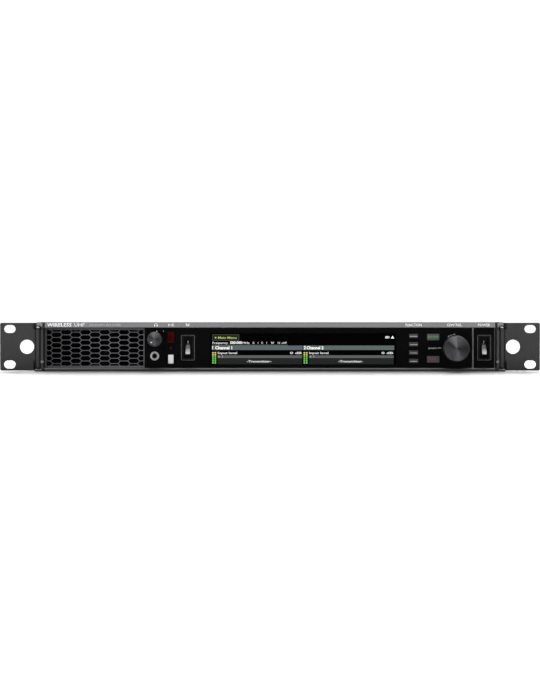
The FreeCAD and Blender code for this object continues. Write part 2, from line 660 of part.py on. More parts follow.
def make_phones_jack():
    """3.5 mm socket: a threaded bush through the fascia, a plastic body and a knurled ring nut."""
    bush = front_rod(PHONES_X, PHONES_Z, 3.0, -1.4, 4.1)
    case = front_pad(PHONES_X, PHONES_Z, (8.0, 7.2), (4.0, 14.0))
    jack = fuse(bush, case)
    mouth = Part.makeCone(2.3, JACK_BORE, 0.5, Vector(PHONES_X, behind(-1.4), PHONES_Z), ALONG_Y)
    jack = jack.cut([front_rod(PHONES_X, PHONES_Z, JACK_BORE, -2, 12.6), mouth])
    ring = front_rod(PHONES_X, PHONES_Z, 4.0, -1.15, -0.05)
    ring = ring.makeChamfer(0.25, [e for e in ring.Edges if abs(e.BoundBox.YMax - behind(-1.15)) < 1e-6])
    cuts = [front_rod(PHONES_X, PHONES_Z, 3.03, -2, 1)]
    for turn in (45, 135):
        notch = front_pad(PHONES_X, PHONES_Z, (10.0, 0.9), (-1.5, -0.75))
        notch.rotate(Vector(PHONES_X, 0, PHONES_Z), ALONG_Y, turn)
        cuts.append(notch)
    return jack, ring.cut(cuts)


def make_sync_window():
    lens = rounded(front_pad(SYNC_X, SYNC_WINDOW_Z, SYNC_WINDOW_SIZE, (-0.25, 2.4)), 0.7)
    return lens.makeFillet(0.2, front_edges(lens, behind(-0.25)))


def make_sync_sensor():
    """Infrared transceiver: a small case with two domes, on the front board behind its window."""
    case = front_pad(SYNC_X, SYNC_WINDOW_Z, (4.6, 8.4), (6.5, BOARD_DEPTH))
    domes = [Part.makeSphere(1.6, Vector(SYNC_X, behind(6.5), SYNC_WINDOW_Z + dz)) for dz in (-2.2, 2.2)]
    return fuse(case, *domes)


def make_sync_led():
    pipe = front_rod(SYNC_X, SYNC_LED_Z, 1.1, -0.3, BOARD_DEPTH)
    return pipe.makeFillet(0.25, [e for e in pipe.Edges if abs(e.BoundBox.YMax - behind(-0.3)) < 1e-6])


# ---- Display ------------------------------------------------------------------------------------
def display_block(d, side, below, above):
    """A box over the display's opening, wider by side at each end and taller by below and above."""
    x = (DISPLAY_X[0] - side, DISPLAY_X[1] + side)
    return front_block(x, d, (DISPLAY_Z[0] - below, DISPLAY_Z[1] + above))


def make_display():
    """Clear window, glass panel and the steel can round its edges and back."""
    window = display_block((0.05, 2.4), -0.1, -0.1, -0.1)
    panel = display_block((2.9, 5.2), 1.0, 0.6, 1.2)
    can = display_block((4.0, 8.4), 1.6, 1.2, 1.8)
    pocket = display_block((3.0, 5.3), 1.1, 0.7, 1.3)
    return window, panel, can.cut(pocket)


def make_front_board():
    board = front_block((-112.0, 178.0), (BOARD_DEPTH, BOARD_DEPTH + BOARD_THICK), (3.4, 40.4))
    jack_gap = front_pad(PHONES_X, PHONES_Z, (9.0, 8.2), (BOARD_DEPTH - 1, BOARD_DEPTH + 3))
    header = front_block(RIBBON_HEADER_X, (BOARD_DEPTH + BOARD_THICK, FRONT_HEADER_DEPTH), (25.6, 30.8))
    return board.cut(jack_gap), header


# ---- Fans ---------------------------------------------------------------------------------------
FAN_X = (-177.5, -135.0)
FAN_Z = 21.3
FAN_DEPTH = (14.0, 34.0)
FAN_SIZE = 40.0
FAN_DUCT = 18.9
FAN_MOTOR = 12.0
FAN_FLANGE = 3.5             # thickness of each of the frame's two square flanges
FAN_HOLE_PITCH = 32.0
BLADE_COUNT = 7
BLADE_PITCH_DEG = 38.0


def make_fan_frame(x):
    """Two square flanges joined by a round duct, with the motor's cup held on four struts."""
    size = (FAN_SIZE, FAN_SIZE)
    past = (FAN_DEPTH[0] - 1, FAN_DEPTH[1] + 1)
    frame = rounded(front_pad(x, FAN_Z, size, FAN_DEPTH), 3.0)
    waist = front_pad(x, FAN_Z, size, (FAN_DEPTH[0] + FAN_FLANGE, FAN_DEPTH[1] - FAN_FLANGE), 1.0)
    waist = waist.cut(front_rod(x, FAN_Z, FAN_DUCT + 0.9, *FAN_DEPTH))
    cuts = [front_rod(x, FAN_Z, FAN_DUCT, *past), waist]
    for dx in (-FAN_HOLE_PITCH / 2, FAN_HOLE_PITCH / 2):
        for dz in (-FAN_HOLE_PITCH / 2, FAN_HOLE_PITCH / 2):
            cuts.append(front_rod(x + dx, FAN_Z + dz, 2.15, *past))
    motor = front_rod(x, FAN_Z, FAN_MOTOR, FAN_DEPTH[1] - 3.0, FAN_DEPTH[1])
    struts = []
    for turn in (30, 120, 210, 300):
        reach = (x + FAN_MOTOR - 2, x + FAN_DUCT + 0.6)
        strut = front_block(reach, (FAN_DEPTH[1] - 2.5, FAN_DEPTH[1]), (FAN_Z - 1.0, FAN_Z + 1.0))
        strut.rotate(Vector(x, 0, FAN_Z), ALONG_Y, turn)
        struts.append(strut)
    return fuse(frame.cut(cuts), motor, *struts)


def make_fan_rotor(x):
    """Hub and pitched blades, clear of the frame all round. The blades' roots are buried in the hub."""
    front = FAN_DEPTH[0] + 1.0
    rear = FAN_DEPTH[1] - 3.6
    hub = front_rod(x, FAN_Z, FAN_MOTOR - 0.5, front, rear)
    hub = hub.makeFillet(1.5, [e for e in hub.Edges if abs(e.BoundBox.YMax - behind(front)) < 1e-6])
    swept = front_rod(x, FAN_Z, FAN_DUCT - 0.7, front + 0.5, rear - 0.5)
    swept = swept.cut(front_rod(x, FAN_Z, FAN_MOTOR - 1.0, front, rear))
    middle = behind((front + rear) / 2)
    blades = []
    for i in range(BLADE_COUNT):
        blade = block((x + 6.0, x + 19.0), (middle - 12, middle + 12), (FAN_Z - 0.6, FAN_Z + 0.6))
        blade.rotate(Vector(x, middle, FAN_Z), ALONG_X, BLADE_PITCH_DEG)
        blade.rotate(Vector(x, middle, FAN_Z), ALONG_Y, 360 / BLADE_COUNT * i)
        blades.append(blade.common(swept))
    return hub.fuse(blades)


# ---- Boards and power supply --------------------------------------------------------------------
MAIN_BOARD_X = (-106.0, 198.0)
MAIN_BOARD_Y = (behind(30.0), REAR_Y - 6.0)
MAIN_BOARD_TOP = MAIN_BOARD_Z + BOARD_THICK
SUPPLY_X = (-196.0, -118.0)
SUPPLY_Y = (behind(62.0), behind(222.0))
STANDOFF_R = 2.6


CHIP_THICK = 1.8
CHIPS = (                    # lowest corner in x and y, and side, of each large package
    (-70.0, -60.0, 24.0),
    (-30.0, -60.0, 18.0),
    (20.0, -40.0, 28.0),
    (-70.0, 20.0, 20.0),
    (-20.0, 30.0, 16.0),
    (60.0, -70.0, 14.0),
)
SHIELD_X = (104.0, 192.0)
SHIELD_Y = ((20.0, 86.0), (92.0, 136.0))
SHIELD_HEIGHT = 9.0
SHIELD_SHEET = 0.6
SINK_X = (18.0, 76.0)
SINK_Y = (20.0, 90.0)
SINK_TOP = 36.0
FIN_COUNT = 12
FIN_THICK = 1.4


def make_main_board():
    board = block(MAIN_BOARD_X, MAIN_BOARD_Y, (MAIN_BOARD_Z, MAIN_BOARD_TOP))
    header_y = (behind(MAIN_HEADER_DEPTH[0]), behind(MAIN_HEADER_DEPTH[1]))
    header = block(RIBBON_HEADER_X, header_y, (MAIN_BOARD_TOP, MAIN_BOARD_TOP + 6.0))
    chips = []
    for x, y, side in CHIPS:
        chips.append(block((x, x + side), (y, y + side), (MAIN_BOARD_TOP, MAIN_BOARD_TOP + CHIP_THICK)))
    return [board, header] + chips


def make_shields():
    """Open-bottomed cans over the two radio sections."""
    cans = []
    top = MAIN_BOARD_TOP + SHIELD_HEIGHT
    inner_x = (SHIELD_X[0] + SHIELD_SHEET, SHIELD_X[1] - SHIELD_SHEET)
    for y in SHIELD_Y:
        outer = rounded_block(SHIELD_X, y, (MAIN_BOARD_TOP, top), 2.0, ALONG_Z)
        inner_y = (y[0] + SHIELD_SHEET, y[1] - SHIELD_SHEET)
        cans.append(outer.cut(block(inner_x, inner_y, (MAIN_BOARD_TOP - 1, top - SHIELD_SHEET))))
    return cans


def make_heat_sink():
    """Finned extrusion that stands on the power amplifier's package."""
    base_z = MAIN_BOARD_TOP + 1.9
    base = block(SINK_X, SINK_Y, (base_z, base_z + 3.1))
    pitch = (SINK_X[1] - SINK_X[0] - FIN_THICK) / (FIN_COUNT - 1)
    fins = []
    for i in range(FIN_COUNT):
        x = SINK_X[0] + i * pitch
        fins.append(block((x, x + FIN_THICK), SINK_Y, (base_z + 2.6, SINK_TOP)))
    foot_x = (SINK_X[0] + 16, SINK_X[1] - 16)
    foot = block(foot_x, (SINK_Y[0] + 20, SINK_Y[1] - 20), (MAIN_BOARD_TOP, base_z + 0.1))
    return fuse(base, foot, *fins)


def board_holes():
    """Fixing places of the main board and the supply's board."""
    places = []
    for x in (MAIN_BOARD_X[0] + 6, 46.0, MAIN_BOARD_X[1] - 6):
        for y in (MAIN_BOARD_Y[0] + 14, MAIN_BOARD_Y[1] - 34):
            places.append((x, y))
    for x in (SUPPLY_X[0] + 5, SUPPLY_X[1] - 5):
        for y in (SUPPLY_Y[0] + 6, SUPPLY_Y[1] - 6):
            places.append((x, y))
    return places


def make_standoffs():
    return [rod_z(x, y, STANDOFF_R, SHEET, MAIN_BOARD_Z) for x, y in board_holes()]


def make_supply():
    """Switching supply: board, transformer, heat plate, choke, one bulk and two output capacitors."""
    top = MAIN_BOARD_TOP
    x0 = SUPPLY_X[0]
    y0 = SUPPLY_Y[0]
    board = block(SUPPLY_X, SUPPLY_Y, (MAIN_BOARD_Z, top))
    transformer = rounded_block((x0 + 34, x0 + 66), (y0 + 60, y0 + 96), (top, top + 24), 3.0, ALONG_Z)
    plate = block((x0 + 44, x0 + 47), (y0 + 20, y0 + 52), (top, top + 24))
    choke_place = (x0 + 58, y0 + 126)
    choke = rod_z(*choke_place, 10.0, top, top + 14).cut(rod_z(*choke_place, 4.5, top - 1, top + 15))
    bulk = rod_z(x0 + 20, y0 + 40, 10.0, top, top + 26)
    output = [rod_z(x0 + 24, y0 + 118 + 15 * i, 6.0, top, top + 20) for i in range(2)]
    return [board, transformer, bulk, plate, choke] + output


def make_supply_cover():
    """Slotted guard over the supply, open at its front and rear for air."""
    sheet = 1.0
    x = (SUPPLY_X[0] - 2.5, SUPPLY_X[1] + 2.5)
    y = (SUPPLY_Y[0] + 10, SUPPLY_Y[1] - 10)
    z = (SHEET + 0.05, 39.5)
    outer = block(x, y, z)
    inner = block((x[0] + sheet, x[1] - sheet), (y[0] - 1, y[1] + 1), (0, z[1] - sheet))
    slots = []
    for i in range(9):
        slot_x = x[0] + 8 + 8 * i
        slots.append(block((slot_x, slot_x + 3), (y[0] + 10, y[1] - 10), (z[1] - 2, z[1] + 1)))
    return outer.cut([inner] + slots)


def ribbon_edge(offset, start, end_y, radius):
    """One side of the ribbon's S bend, at a distance above its middle line."""
    bend_1 = Vector(0, start.y + 4.0, start.z - radius)
    bend_2 = Vector(0, bend_1.y + 2 * radius, bend_1.z)
    end_z = bend_2.z - radius + offset
    r1 = radius + offset
    r2 = radius - offset
    root = math.sqrt(0.5)
    return [
        Part.LineSegment(Vector(0, start.y, start.z + offset), Vector(0, bend_1.y, start.z + offset)),
        Part.Arc(Vector(0, bend_1.y, bend_1.z + r1),
                 Vector(0, bend_1.y + r1 * root, bend_1.z + r1 * root),
                 Vector(0, bend_1.y + r1, bend_1.z)),
        Part.Arc(Vector(0, bend_2.y - r2, bend_2.z),
                 Vector(0, bend_2.y - r2 * root, bend_2.z - r2 * root),
                 Vector(0, bend_2.y, bend_2.z - r2)),
        Part.LineSegment(Vector(0, bend_2.y, end_z), Vector(0, end_y, end_z)),
    ]


def make_ribbon():
    """Flat flex from the front board down to the main board, in one S bend."""
    half = 0.2
    radius = 7.0
    start = Vector(0, behind(FRONT_HEADER_DEPTH), 27.4)
    end = Vector(0, behind(MAIN_HEADER_DEPTH[0]), start.z - 2 * radius)
    lines = ribbon_edge(half, start, end.y, radius) + ribbon_edge(-half, start, end.y, radius)
    for tip in (start, end):
        lines.append(Part.LineSegment(tip + ALONG_Z * half, tip - ALONG_Z * half))
    wire = Part.Wire(Part.__sortEdges__([line.toShape() for line in lines]))
    width = RIBBON_HEADER_X[1] - RIBBON_HEADER_X[0] - 4.0
    strip = Part.Face(wire).extrude(ALONG_X * width)
    strip.translate(ALONG_X * (RIBBON_HEADER_X[0] + 2.0))
    return strip


# ---- Rear sockets -------------------------------------------------------------------------------
INLET_X = -168.0
NETWORK_X = (-88.0, -66.0)
LINE_X = (-34.0, -12.0)
XLR_X = (22.0, 56.0)
ANTENNA_X = (92.0, 118.0, 146.0, 172.0)
INLET_SIZE = (27.8, 20.0)
INLET_SCREW = 20.0           # each side of the inlet's centre
INLET_PINS = ((-7.0, -2.0), (7.0, -2.0), (0.0, 2.0))
NETWORK_SIZE = (16.0, 13.8)
NETWORK_Z = 20.5
LINE_BORE = 3.2
LINE_BUSH = 5.6
XLR_BODY = 11.8
XLR_SCREW = (9.5, 12.0)
XLR_PINS = ((-3.6, 2.2), (3.6, 2.2), (0.0, -4.0))
BNC_BODY = 6.3
BNC_BARREL = 4.8
REAR_SCREW_HOLE = 1.5
REAR_VENT_PITCH = (4.6, 5.0)


def rear_block(x, out, z):
    """A box whose Y is given as distances out of the rear panel's outer face; minus is inside."""
    return block(x, (REAR_Y + out[0], REAR_Y + out[1]), z)


def rear_pad(x, z, size, out, grow=0.0):
    """A box of a (width, height) size centred on x and z, made larger by grow on every side."""
    half_x = size[0] / 2 + grow
    half_z = size[1] / 2 + grow
    return rear_block((x - half_x, x + half_x), out, (z - half_z, z + half_z))


def rear_rod(x, z, radius, out0, out1):
    return rod_y(x, z, radius, REAR_Y + out0, REAR_Y + out1)


def rear_screw_places():
    """Where pan-head screws hold the rear panel, the inlet and the XLR flanges: (x, z, out)."""
    places = []
    for side in (-1, 1):
        places.append((side * 196.0, 8.0, 0.0))
        places.append((INLET_X + side * INLET_SCREW, MID_Z, 2.2))
        places += [(x + side * XLR_SCREW[0], MID_Z + side * XLR_SCREW[1], 1.6) for x in XLR_X]
    return places


def rear_vents():
    """Five staggered rows of round holes behind the supply."""
    holes = []
    for row in range(5):
        for i in range(8):
            x = -138.0 + (i + 0.5 * (row % 2)) * REAR_VENT_PITCH[0]
            holes.append(rear_rod(x, 10.0 + row * REAR_VENT_PITCH[1], 1.5, -REAR_THICK - 1, 1))
    return holes


def make_rear_panel():
    inner_half = BODY_HALF - SHEET - 0.1
    panel = rear_block((-inner_half, inner_half), (-REAR_THICK, 0), (SHEET + 0.1, WALL_TOP))
    through = (-REAR_THICK - 1, 1)
    gap = 0.1
    cuts = [rear_pad(INLET_X, MID_Z, INLET_SIZE, through, gap)]
    cuts += [rear_pad(x, NETWORK_Z, NETWORK_SIZE, through, gap) for x in NETWORK_X]
    for places, radius in ((LINE_X, LINE_BUSH), (XLR_X, XLR_BODY), (ANTENNA_X, BNC_BODY)):
        cuts += [rear_rod(x, MID_Z, radius + gap, *through) for x in places]
    cuts += [rear_rod(x, z, REAR_SCREW_HOLE, *through) for x, z, _ in rear_screw_places()]
    return panel.cut(cuts + rear_vents())


def make_inlet():
    """Mains inlet: screwed flange, D-shaped well and three blades."""
    x = INLET_X
    z = MID_Z
    flange = rounded(rear_pad(x, z, (50.0, 22.4), (0.05, 2.2)), 5.0)
    body = rear_pad(x, z, INLET_SIZE, (-16.0, 0.1))
    well = prism_y([
        (x - 12, z - 8),
        (x - 12, z + 3.5),
        (x - 7.5, z + 8),
        (x + 7.5, z + 8),
        (x + 12, z + 3.5),
        (x + 12, z - 8),
    ], REAR_Y - 13.5, REAR_Y + 3)
    cuts = [well] + [rear_rod(x + side * INLET_SCREW, z, REAR_SCREW_HOLE, -1, 4) for side in (-1, 1)]
    cuts += [rear_pad(x + dx, z + dz, (2.0, 4.0), (-17.0, -12.0)) for dx, dz in INLET_PINS]
    blades = [rear_pad(x + dx, z + dz, (2.0, 4.0), (-16.5, -3.0)) for dx, dz in INLET_PINS]
    return [fuse(flange, body).cut(cuts)] + blades


def make_network_ports():
    """Shielded eight-way sockets, each a rectangular mouth with a step below it for the plug's latch."""
    ports = []
    for x in NETWORK_X:
        shell = rear_pad(x, NETWORK_Z, NETWORK_SIZE, (-19.0, 0.8))
        mouth = rear_block((x - 5.9, x + 5.9), (-14.0, 2.0), (NETWORK_Z - 4.0, NETWORK_Z + 3.4))
        latch = rear_block((x - 3.0, x + 3.0), (-14.0, 2.0), (NETWORK_Z - 5.6, NETWORK_Z - 3.0))
        ports.append(shell.cut([mouth, latch]))
    return ports


def make_line_jacks():
    """Quarter-inch sockets, each with a flat hexagon nut."""
    found = []
    for x in LINE_X:
        bush = rear_rod(x, MID_Z, LINE_BUSH, -3.0, 4.0)
        case = rear_pad(x, MID_Z, (17.0, 17.0), (-26.0, -2.0))
        mouth = Part.makeCone(LINE_BORE, 4.0, 0.8, Vector(x, REAR_Y + 3.2, MID_Z), ALONG_Y)
        jack = fuse(bush, case).cut([rear_rod(x, MID_Z, LINE_BORE, -24.0, 6.0), mouth])
        nut = hexagon(14.0, x, MID_Z, REAR_Y + 0.05, REAR_Y + 2.4)
        found += [jack, nut.cut(rear_rod(x, MID_Z, LINE_BUSH + 0.03, -1, 4))]
    return found


def make_xlr_sockets():
    """Three-pin output sockets: flange, round well and pins."""
    found = []
    for x in XLR_X:
        flange = rounded(rear_pad(x, MID_Z, (26.0, 31.0), (0.05, 1.6)), 4.0)
        body = rear_rod(x, MID_Z, XLR_BODY, -18.0, 0.1)
        collar = rear_rod(x, MID_Z, 10.8, 0, 3.2)
        pin_spots = [(x + dx, MID_Z + dz) for dx, dz in XLR_PINS]
        cuts = [rear_rod(x, MID_Z, 9.4, -15.0, 5.0)]
        cuts.append(rear_block((x - 1.6, x + 1.6), (-15.0, 5.0), (MID_Z + 8.0, MID_Z + 10.2)))
        cuts += [rear_rod(px, pz, 1.2, -20.0, -14.0) for px, pz in pin_spots]
        for side in (-1, 1):
            screw = (x + side * XLR_SCREW[0], MID_Z + side * XLR_SCREW[1])
            cuts.append(rear_rod(*screw, REAR_SCREW_HOLE, -1, 3))
        found.append(fuse(flange, body, collar).cut(cuts))
        found += [rear_rod(px, pz, 1.2, -19.5, -4.5) for px, pz in pin_spots]
    return found


def make_antenna_sockets():
    """Bayonet sockets: round base through the panel, hexagon nut, barrel with two lugs, white core."""
    found = []
    for x in ANTENNA_X:
        base = rear_rod(x, MID_Z, BNC_BODY, -8.0, 0.3)
        tail = rear_pad(x, MID_Z, (12.4, 14.0), (-20.0, -7.5))
        barrel = rear_rod(x, MID_Z, BNC_BARREL, 0.0, SOCKET_REACH)
        collar = rear_rod(x, MID_Z, 5.9, 0.2, 3.4)
        lugs = rod_z(x, REAR_Y + 8.4, 1.0, MID_Z - 6.1, MID_Z + 6.1)
        shell = fuse(base, tail, barrel, collar, lugs)
        shell = shell.cut(rear_rod(x, MID_Z, 4.0, 3.0, SOCKET_REACH + 1))
        core = rear_rod(x, MID_Z, 2.4, 3.0, SOCKET_REACH - 2.5)
        core = core.cut(rear_rod(x, MID_Z, 0.7, 5.0, SOCKET_REACH))
        nut = hexagon(15.0, x, MID_Z, REAR_Y + 0.3, REAR_Y + 2.3)
        found += [shell, core, nut.cut(rear_rod(x, MID_Z, 5.95, 0, 4))]
    return found


def make_rear_screws():
    screw = pan_screw(5.0, 2.7, 1.7, 1.4, 2.6)
    return [placed(screw, (x, REAR_Y + out, z), (0, 1, 0)) for x, z, out in rear_screw_places()]


# ---- Build --------------------------------------------------------------------------------------
def build():
    os.makedirs("parts", exist_ok=True)
    save("chassis_tray", make_tray())
    save("top_cover", make_cover())
    save("cover_screws", *make_cover_screws())
    save("rear_panel", make_rear_panel())
    save("rear_screws", *make_rear_screws())
    save("front_bezel", make_bezel())
    cap = make_end_cap()
    save("end_cap_right", cap)
    save("end_cap_left", mirrored(cap))
    save("fascia_panel", make_fascia())
    save("power_fascia", make_power_fascia())
    save("divider_trim", make_divider())
    save("intake_grille", make_grille())
    save("dust_filter", make_filter())
    ear = make_ear()
    save("rack_ear_right", ear)
    save("rack_ear_left", mirrored(ear))
    save("ear_screws", *make_ear_screws())
    knob, shaft, pot = make_volume()
    save("volume_knob", knob)
    save("volume_shaft", shaft)
    save("volume_pot", pot)
    knob, shaft, plunger, encoder = make_control()
    save("control_knob", knob)
    save("encoder_shaft", shaft)
    save("encoder_plunger", plunger)
    save("encoder_body", encoder)
    save_buttons()
    for name, x in (("rf_switch", RF_SWITCH_X), ("power_switch", POWER_SWITCH_X)):
        save(name + "_housing", make_switch_housing(x))
        save(name + "_lever", make_lever(x))
    save("switch_pins", make_switch_pin(RF_SWITCH_X), make_switch_pin(POWER_SWITCH_X))
    jack, ring = make_phones_jack()
    save("phones_jack", jack)
    save("phones_jack_nut", ring)
    save("sync_window", make_sync_window())
    save("sync_sensor", make_sync_sensor())
    save("sync_led", make_sync_led())
    window, panel, can = make_display()
    save("display_window", window)
    save("display_panel", panel)
    save("display_frame", can)
    save("front_board", *make_front_board())
    save("fan_frames", *[make_fan_frame(x) for x in FAN_X])
    save("fan_rotor_left", make_fan_rotor(FAN_X[0]))
    save("fan_rotor_right", make_fan_rotor(FAN_X[1]))
    save("main_board", *make_main_board())
    save("radio_shields", *make_shields())
    save("heat_sink", make_heat_sink())
    save("board_standoffs", *make_standoffs())
    save("power_supply", *make_supply())
    save("power_supply_cover", make_supply_cover())
    save("display_ribbon", make_ribbon())
    save("mains_inlet", *make_inlet())
    save("network_ports", *make_network_ports())
    save("line_jacks", *make_line_jacks())
    save("xlr_sockets", *make_xlr_sockets())
    save("antenna_sockets", *make_antenna_sockets())


build()
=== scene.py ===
"""Looks for a rack-mount wireless receiver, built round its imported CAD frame.

Blender's lengths are metres. Sizes given here in millimetres are turned by MM, and places come from the
frame's own boxes. The front looks along -Y, so a flat marking is laid out in X and Z and given a Y.
"""
import json
import math

import bmesh
import bpy
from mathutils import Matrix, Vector

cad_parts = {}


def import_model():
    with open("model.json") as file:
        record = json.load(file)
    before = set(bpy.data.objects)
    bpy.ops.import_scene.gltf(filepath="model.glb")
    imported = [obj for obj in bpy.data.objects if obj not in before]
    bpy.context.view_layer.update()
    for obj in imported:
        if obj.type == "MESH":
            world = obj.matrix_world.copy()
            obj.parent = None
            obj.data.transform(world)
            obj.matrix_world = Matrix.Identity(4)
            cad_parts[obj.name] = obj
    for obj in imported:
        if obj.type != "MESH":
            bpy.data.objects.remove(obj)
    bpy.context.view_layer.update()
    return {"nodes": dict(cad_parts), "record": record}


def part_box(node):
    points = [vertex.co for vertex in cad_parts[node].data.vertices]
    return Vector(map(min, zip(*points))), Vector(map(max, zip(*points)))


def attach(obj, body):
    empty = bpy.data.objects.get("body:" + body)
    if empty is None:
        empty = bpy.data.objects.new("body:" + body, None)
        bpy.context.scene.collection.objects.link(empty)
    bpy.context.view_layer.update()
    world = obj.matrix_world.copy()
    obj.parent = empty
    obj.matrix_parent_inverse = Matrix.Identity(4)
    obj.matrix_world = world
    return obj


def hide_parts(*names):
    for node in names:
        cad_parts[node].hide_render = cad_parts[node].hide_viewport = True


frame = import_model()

MM = 0.001
ROOT = "chassis"
NODES = frame["nodes"]
scene = bpy.context.scene


def mid(node):
    """Centre of a CAD node's box."""
    low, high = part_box(node)
    return (low + high) / 2


def front_of(node):
    """Y of a CAD node's foremost point."""
    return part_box(node)[0].y


# ---- Material building blocks ---------------------------------------------------------------------
# Sockets of a Mix node's colours, which come after those for numbers and vectors
COLOUR_A = 6
COLOUR_B = 7
COLOUR_OUT = 2


class Finish:
    """A Principled material with short calls for the node chains that give it variation."""

    def __init__(self, name, roughness, metallic=0.0, **sockets):
        self.material = bpy.data.materials.new(name)
        self.material.use_nodes = True
        self.tree = self.material.node_tree
        self.shader = self.tree.nodes["Principled BSDF"]
        self.shader.inputs["Roughness"].default_value = roughness
        self.shader.inputs["Metallic"].default_value = metallic
        for socket, value in sockets.items():
            self.shader.inputs[socket.replace("_", " ")].default_value = value
        self.coordinates = self.add("ShaderNodeTexCoord").outputs["Object"]

    def add(self, kind, **settings):
        node = self.tree.nodes.new(kind)
        for key, value in settings.items():
            setattr(node, key, value)
        return node

    def link(self, source, node, socket):
        self.tree.links.new(source, node.inputs[socket])

    def placed(self, origin=(0, 0, 0), stretch=(1, 1, 1)):
        """Object coordinates measured from origin, then stretched."""
        shift = self.add("ShaderNodeVectorMath", operation="SUBTRACT")
        shift.inputs[1].default_value = origin
        self.link(self.coordinates, shift, 0)
        scale = self.add("ShaderNodeVectorMath", operation="MULTIPLY")
        scale.inputs[1].default_value = stretch
        self.link(shift.outputs[0], scale, 0)
        return scale.outputs[0]

    def noise(self, scale, detail=3.0, stretch=(1, 1, 1)):
        node = self.add("ShaderNodeTexNoise")
        node.inputs["Scale"].default_value = scale
        node.inputs["Detail"].default_value = detail
        self.link(self.placed(stretch=stretch), node, "Vector")
        return node.outputs["Fac"]

    def cells(self, scale):
        node = self.add("ShaderNodeTexVoronoi")
        node.inputs["Scale"].default_value = scale
        self.link(self.coordinates, node, "Vector")
        return node.outputs["Distance"]

    def rings(self, origin, pitch):
        """Grooves round an axis along Y. The wave node repeats every pi / 10 at scale 1."""
        node = self.add("ShaderNodeTexWave", wave_type="RINGS", rings_direction="Y")
        node.inputs["Scale"].default_value = math.pi / 10 / pitch
        node.inputs["Distortion"].default_value = 0.4
        node.inputs["Detail Scale"].default_value = 40
        self.link(self.placed(origin), node, "Vector")
        return node.outputs["Fac"]

    def ramp(self, factor, low, high, at=(0.35, 0.65)):
        """Blends from one value or colour to another as the factor goes between two places."""
        node = self.add("ShaderNodeMapRange")
        node.inputs["From Min"].default_value = at[0]
        node.inputs["From Max"].default_value = at[1]
        self.link(factor, node, "Value")
        if isinstance(low, (int, float)):
            node.inputs["To Min"].default_value = low
            node.inputs["To Max"].default_value = high
            return node.outputs[0]
        blend = self.add("ShaderNodeMix", data_type="RGBA")
        self.link(node.outputs[0], blend, 0)
        blend.inputs[COLOUR_A].default_value = (*low, 1)
        blend.inputs[COLOUR_B].default_value = (*high, 1)
        return blend.outputs[COLOUR_OUT]

    def times(self, first, second):
        """One colour multiplied by another."""
        blend = self.add("ShaderNodeMix", data_type="RGBA", blend_type="MULTIPLY")
        blend.inputs[0].default_value = 1.0
        self.link(first, blend, COLOUR_A)
        self.link(second, blend, COLOUR_B)
        return blend.outputs[COLOUR_OUT]

    def colour(self, source):
        self.link(source, self.shader, "Base Color")

    def roughness(self, source):
        self.link(source, self.shader, "Roughness")

    def relief(self, height, depth):
        """Adds relief of a given depth in metres."""
        node = self.add("ShaderNodeBump")
        node.inputs["Strength"].default_value = 1.0
        node.inputs["Distance"].default_value = depth
        self.link(height, node, "Height")
        self.link(node.outputs[0], self.shader, "Normal")


def coated(name, dark, light, rough, grain, depth, metallic=0.0, stretch=(1, 1, 1), **sockets):
    """Paint, moulded plastic or plated metal: two close tones, uneven gloss and a fine grain.

    rough is the least and the most roughness, grain the speckles' scale, and depth their relief in metres.
    """
    made = Finish(name, rough[0], metallic, **sockets)
    drift = made.noise(28, 4, stretch)
    speckle = made.noise(grain, 2, stretch)
    made.colour(made.ramp(drift, dark, light, (0.3, 0.7)))
    made.roughness(made.ramp(drift, rough[0], rough[1], (0.25, 0.75)))
    made.relief(speckle, depth)
    return made


def grey(value):
    """A grey with a trace of blue."""
    return (value, value, value * 1.02)


# Painted sheen: bright and dark sectors painted into a knob face's colour, standing in for the conic
# reflection of turned metal. Places round the face, as parts of a turn from its left by way of its foot, and
# how bright each is
PAINTED_SHEEN = ((0.00, 0.75), (0.06, 0.85), (0.13, 1.20), (0.20, 0.92), (0.26, 1.05), (0.33, 0.92), (0.40, 0.66),
         (0.46, 0.44), (0.52, 0.38), (0.60, 0.72), (0.68, 0.95), (0.73, 0.90), (0.755, 1.65), (0.79, 1.40),
         (0.83, 1.15), (0.87, 0.80), (0.90, 0.40), (0.94, 0.52), (1.00, 0.75))


def spun_painted_sheen(name, node, base, pitch):
    """Face-turned metal: fine rings and a sheen drawn out across them, with painted sheen: bright and dark
    sectors painted into its colour.
    """
    made = Finish(name, 0.45, 1.0, Anisotropic=0.9)
    axis = mid(node)
    rings = made.rings((axis.x, 0, axis.z), pitch)
    split = made.add("ShaderNodeSeparateXYZ")
    made.link(made.placed((axis.x, 0, axis.z)), split, 0)
    flat = made.add("ShaderNodeCombineXYZ")
    made.link(split.outputs["X"], flat, "X")
    made.link(split.outputs["Z"], flat, "Y")
    # Painted sheen: the colour is made brighter and darker by angle round the face's axis
    around = made.add("ShaderNodeTexGradient", gradient_type="RADIAL")
    made.link(flat.outputs[0], around, "Vector")
    painted_sectors = made.add("ShaderNodeValToRGB")
    stops = painted_sectors.color_ramp.elements
    while len(stops) < len(PAINTED_SHEEN):
        stops.new(1.0)
    for stop, (place, level) in zip(stops, PAINTED_SHEEN):
        stop.position = place
        stop.color = (*grey(base * level), 1)
    made.link(around.outputs["Fac"], painted_sectors, "Fac")
    grooves = made.ramp(rings, grey(0.85), grey(1.0), (0.1, 0.9))
    made.colour(made.times(painted_sectors.outputs["Color"], grooves))
    made.roughness(made.ramp(rings, 0.48, 0.42, (0, 1)))
    tangent = made.add("ShaderNodeTangent", direction_type="RADIAL", axis="Y")
    made.link(tangent.outputs[0], made.shader, "Tangent")
    return made


